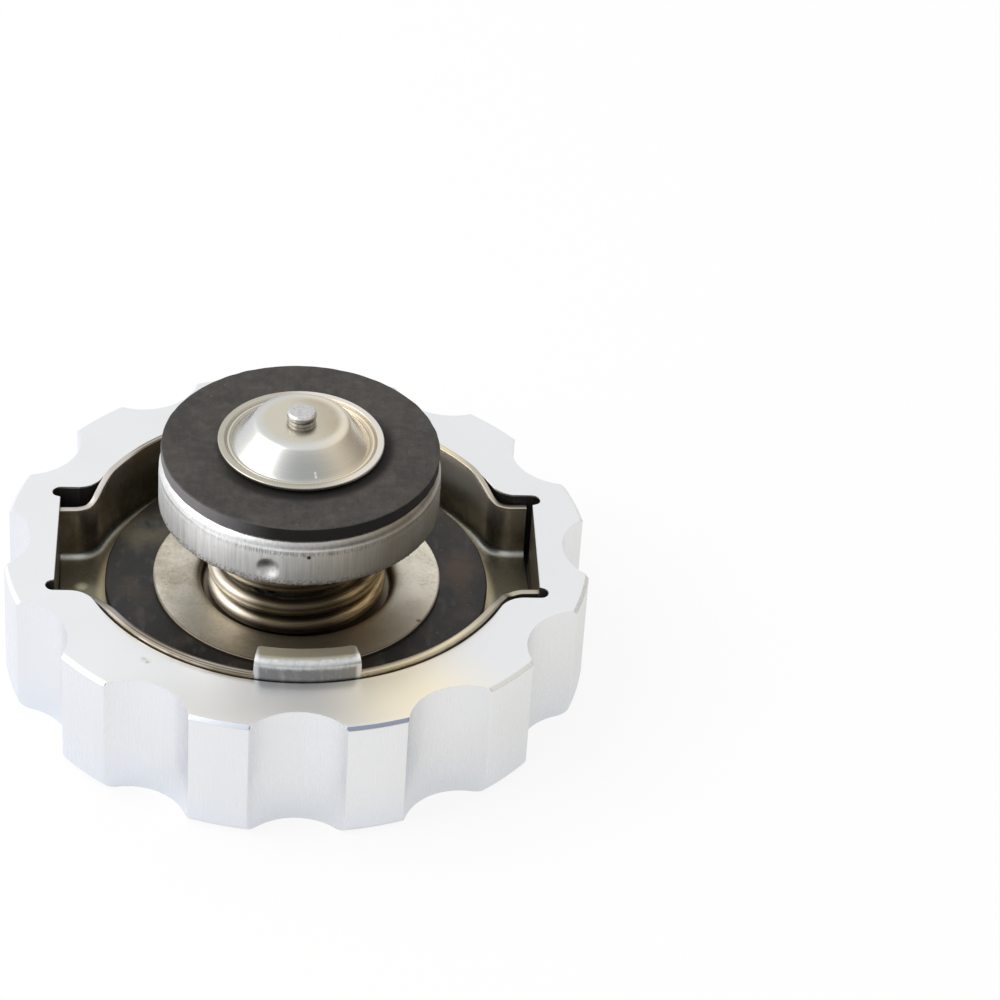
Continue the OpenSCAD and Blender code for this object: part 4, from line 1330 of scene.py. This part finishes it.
@dataclass
class VacuumValve:
    """The dished disc on its stem, with the light spring under it."""

    base_z: float = 37.0
    sheet_t: float = 0.6
    rim_r: float = 12.0
    cone_r: float = 9.95
    crown_z: float = 41.4
    slope: float = 50.0
    crown_bend_r: float = 1.2
    bead_rise: float = 0.5
    hole_r: float = 1.5
    clear: float = 0.004
    head_r: float = 2.13
    head_top: float = 43.05
    stem_low: float = 25.9
    stem_r: float = 1.5
    neck_r: float = 1.48
    foot_r: float = 2.1
    shoulder_r: float = 2.6
    spring: Coil = Coil(wire_r=0.25, coil_r=3.0, low=27.3, high=33.0, turns=5.0, start=0.0, steps=60, sides=14)
    travel: float = 2.0

    def dish(self) -> Patch:
        """The dish turned about the axis: crown, cone, valley, fine bead, groove, flat rim and plain underside."""
        t, cone, low = self.sheet_t, self.cone_r, self.base_z + self.clear
        top = self.base_z + t
        rim = top + self.bead_rise
        slope = math.radians(self.slope)
        crown_r = cone - (self.crown_z - top) / math.tan(slope)
        inset = t * math.tan(slope / 2)
        upper = [
            (self.hole_r, self.crown_z, 0.02), (crown_r, self.crown_z, self.crown_bend_r), (cone, top, 0.25),
            (cone + 0.2, top, 0.08), (cone + 0.36, top + 0.3, 0.1), (cone + 0.64, top + 0.3, 0.1),
            (cone + 0.76, top + 0.08, 0.06), (cone + 0.92, top + 0.08, 0.06), (cone + 1.1, rim, 0.12),
            (self.rim_r, rim, 0.2)]
        under = [
            (self.rim_r, rim - t, 0.2), (cone + 1.4, rim - t, 0.2), (cone + 0.9, low, 0.2),
            (cone - inset, low, 0.5), (crown_r - inset, self.crown_z - t, 0.6),
            (self.hole_r, self.crown_z - t, 0.02)]
        return lathe(refined(rounded_line(upper + under, steps=7), 0.8), 300)

    def stem(self) -> Patch:
        """The stem: peened foot, shank, shoulder under the dish, a collar, a fine groove and a bevelled head."""
        low, head, top = self.stem_low, self.head_r, self.head_top
        under, crown = self.crown_z - self.sheet_t, self.crown_z + 0.01
        line = rounded_line([
            (0, low, 0), (self.foot_r, low, 0.2), (self.foot_r, low + 0.6, 0.1), (self.stem_r, low + 0.6, 0.05),
            (self.stem_r, under - 1.2, 0.1), (self.shoulder_r, under - 1.2, 0.1), (self.shoulder_r, under, 0.05),
            (self.neck_r, under, 0.02), (self.neck_r, crown, 0.02), (head - 0.1, crown, 0.08),
            (head - 0.1, crown + 0.52, 0.1), (head - 0.27, crown + 0.6, 0.04), (head - 0.27, crown + 0.68, 0.04),
            (head, crown + 0.78, 0.06), (head, top - 0.3, 0.1), (head - 0.3, top, 0.12), (0, top, 0)],
            closed=False, steps=5)
        return lathe(refined(line, 1.0, closed=False), 120, closed=False)

    def dress(self) -> None:
        """Makes the dish, the stem and the light spring, and dresses the retainer and the rivet."""
        make_piece("vacuum_disc", [self.dish()], ZincDish("zinc_dish"), Body.VACUUM, ["vacuum_dish"])
        make_piece("stem", [self.stem()], StemHead("stem_head"), Body.VACUUM, ["vacuum_stem"])
        self.spring.dress("light_coil", "vacuum_spring", Body.PRESSURE, "vacuum_lift", self.spring.high,
                          self.travel)
        dress(InnerZinc("inner_zinc"), "spring_retainer", "centre_rivet")


@dataclass
class Studio:
    """Camera, white table and soft light; lengths in millimetres, angles in degrees."""

    turn: float = 5.03
    elevation: float = 36.59
    roll: float = -4.05
    distance: float = 572.1
    shift_x: float = -29.64
    shift_y: float = -6.09
    focus_z: float = 19.5
    lens: float = 140.536
    sensor: float = 36.0
    table_half: float = 1500.0
    table_z: float = -0.02
    table_color: Color = (0.9, 0.9, 0.9)
    table_left: Color = (0.92, 0.95, 1.03)
    table_right: Color = (0.85, 0.85, 0.835)
    seen_share: float = 0.86
    mirrored_share: float = 0.6
    sky_cool: Color = (0.98, 0.99, 1.0)
    sky_warm: Color = (1.0, 0.95, 0.88)
    key_place: Place = (-640.0, -60.0, 520.0)
    key_size: float = 700.0
    key_power: float = 2.8
    key_color: Color = (1.0, 0.985, 0.96)

    def camera(self) -> None:
        """Sets the camera to the photograph's angle: a turn about Z, a tilt, a roll and a sideways shift."""
        a, e, r = (math.radians(v) for v in (self.turn, self.elevation, self.roll))
        right = Vector((math.cos(a), -math.sin(a), 0.0))
        level = Vector((math.sin(a), math.cos(a), 0.0))
        ahead = math.cos(e) * level - math.sin(e) * Vector((0, 0, 1))
        up = math.sin(e) * level + math.cos(e) * Vector((0, 0, 1))
        right, up = math.cos(r) * right - math.sin(r) * up, math.sin(r) * right + math.cos(r) * up
        eye = Vector((0, 0, self.focus_z)) - self.shift_x * right - self.shift_y * up - self.distance * ahead
        data = bpy.data.cameras.new("camera")
        data.lens, data.sensor_width, data.sensor_fit = self.lens, self.sensor, "HORIZONTAL"
        data.clip_start, data.clip_end = 0.01, 20.0
        made = bpy.data.objects.new("camera", data)
        turn = Matrix((right, up, -ahead)).transposed().to_4x4()
        made.matrix_world = Matrix.Translation(eye * MM) @ turn
        bpy.context.scene.collection.objects.link(made)
        bpy.context.scene.camera = made

    def table(self) -> None:
        """A pale table: lit white, lifted towards white for the camera and in reflections, with its shadow kept."""
        side = np.linspace(-self.table_half, self.table_half, 3)
        points = np.stack(np.meshgrid(side, side, self.table_z, indexing="ij"), -1)[:, :, 0]
        patch = grid(points)
        mesh = bpy.data.meshes.new("table")
        mesh.from_pydata(patch.points * MM, [], patch.quads)
        material = bpy.data.materials.new("white_table")
        material.use_nodes = True
        g = Graph(material.node_tree)
        path = g.node("ShaderNodeLightPath", out="Is Camera Ray")
        gloss, glass = (Sock(g, path.socket.node.outputs[key]) for key in ("Is Glossy Ray", "Is Transmission Ray"))
        lit = g.node("ShaderNodeBsdfDiffuse", {"Color": self.table_color})
        x = g.split(g.place())[0]
        seen = g.blend(x.above(-70.0, 50.0), self.table_left, self.table_right)
        white = g.node("ShaderNodeEmission", {"Color": g.blend(path, seen, (1.0, 1.0, 1.0)), "Strength": 1.0})
        share = path * self.seen_share + gloss * self.mirrored_share + glass * self.mirrored_share
        share = g.math("MINIMUM", share, self.seen_share)
        g.end(g.node("ShaderNodeMixShader", {0: share, 1: lit, 2: white}))
        mesh.materials.append(material)
        made = bpy.data.objects.new("table", mesh)
        bpy.context.scene.collection.objects.link(made)

    def sky(self) -> None:
        """Soft room light that is strongest from above and from the left."""
        world = bpy.data.worlds.new("studio")
        bpy.context.scene.world = world
        world.use_nodes = True
        g = Graph(world.node_tree)
        x, y, z = g.split(g.node("ShaderNodeTexCoord", out="Generated"))
        left = (-x).above(0.0, 0.9)
        right = x.above(0.1, 0.8) * (1 - z.above(0.2, 0.8))
        front = (-y).above(0.2, 0.95)
        level = 0.64 + left * 0.38 + z.above(0.0, 0.7) * 0.34 - front * 0.42 - right * 0.34
        tint = g.blend(x.above(0.0, 0.8), self.sky_cool, self.sky_warm)
        g.end(g.node("ShaderNodeBackground", {"Color": tint, "Strength": level}), "ShaderNodeOutputWorld")

    def key(self) -> None:
        """One large soft box on the left that faces the cap."""
        data = bpy.data.lights.new("key_softbox", "AREA")
        data.shape, data.size = "SQUARE", self.key_size * MM
        data.energy, data.color = self.key_power, self.key_color
        made = bpy.data.objects.new("key_softbox", data)
        place = Vector(self.key_place)
        made.location = place * MM
        made.rotation_euler = (Vector((0, 0, self.focus_z)) - place).to_track_quat("-Z", "Y").to_euler()
        bpy.context.scene.collection.objects.link(made)

    def dress(self) -> None:
        """Sets the whole studio up."""
        bpy.context.scene.view_settings.view_transform = "Standard"
        self.camera()
        self.table()
        self.sky()
        self.key()


def main() -> None:
    """Builds the studio and every sub-assembly in order."""
    logging.basicConfig(level=logging.INFO, format="%(message)s")
    Studio().dress()
    for assembly in (BilletCover(), CapShell(), NeckSeal(), SpringCarrier(), PressureValve(), VacuumValve()):
        assembly.dress()


if __name__ == "__main__":
    main()
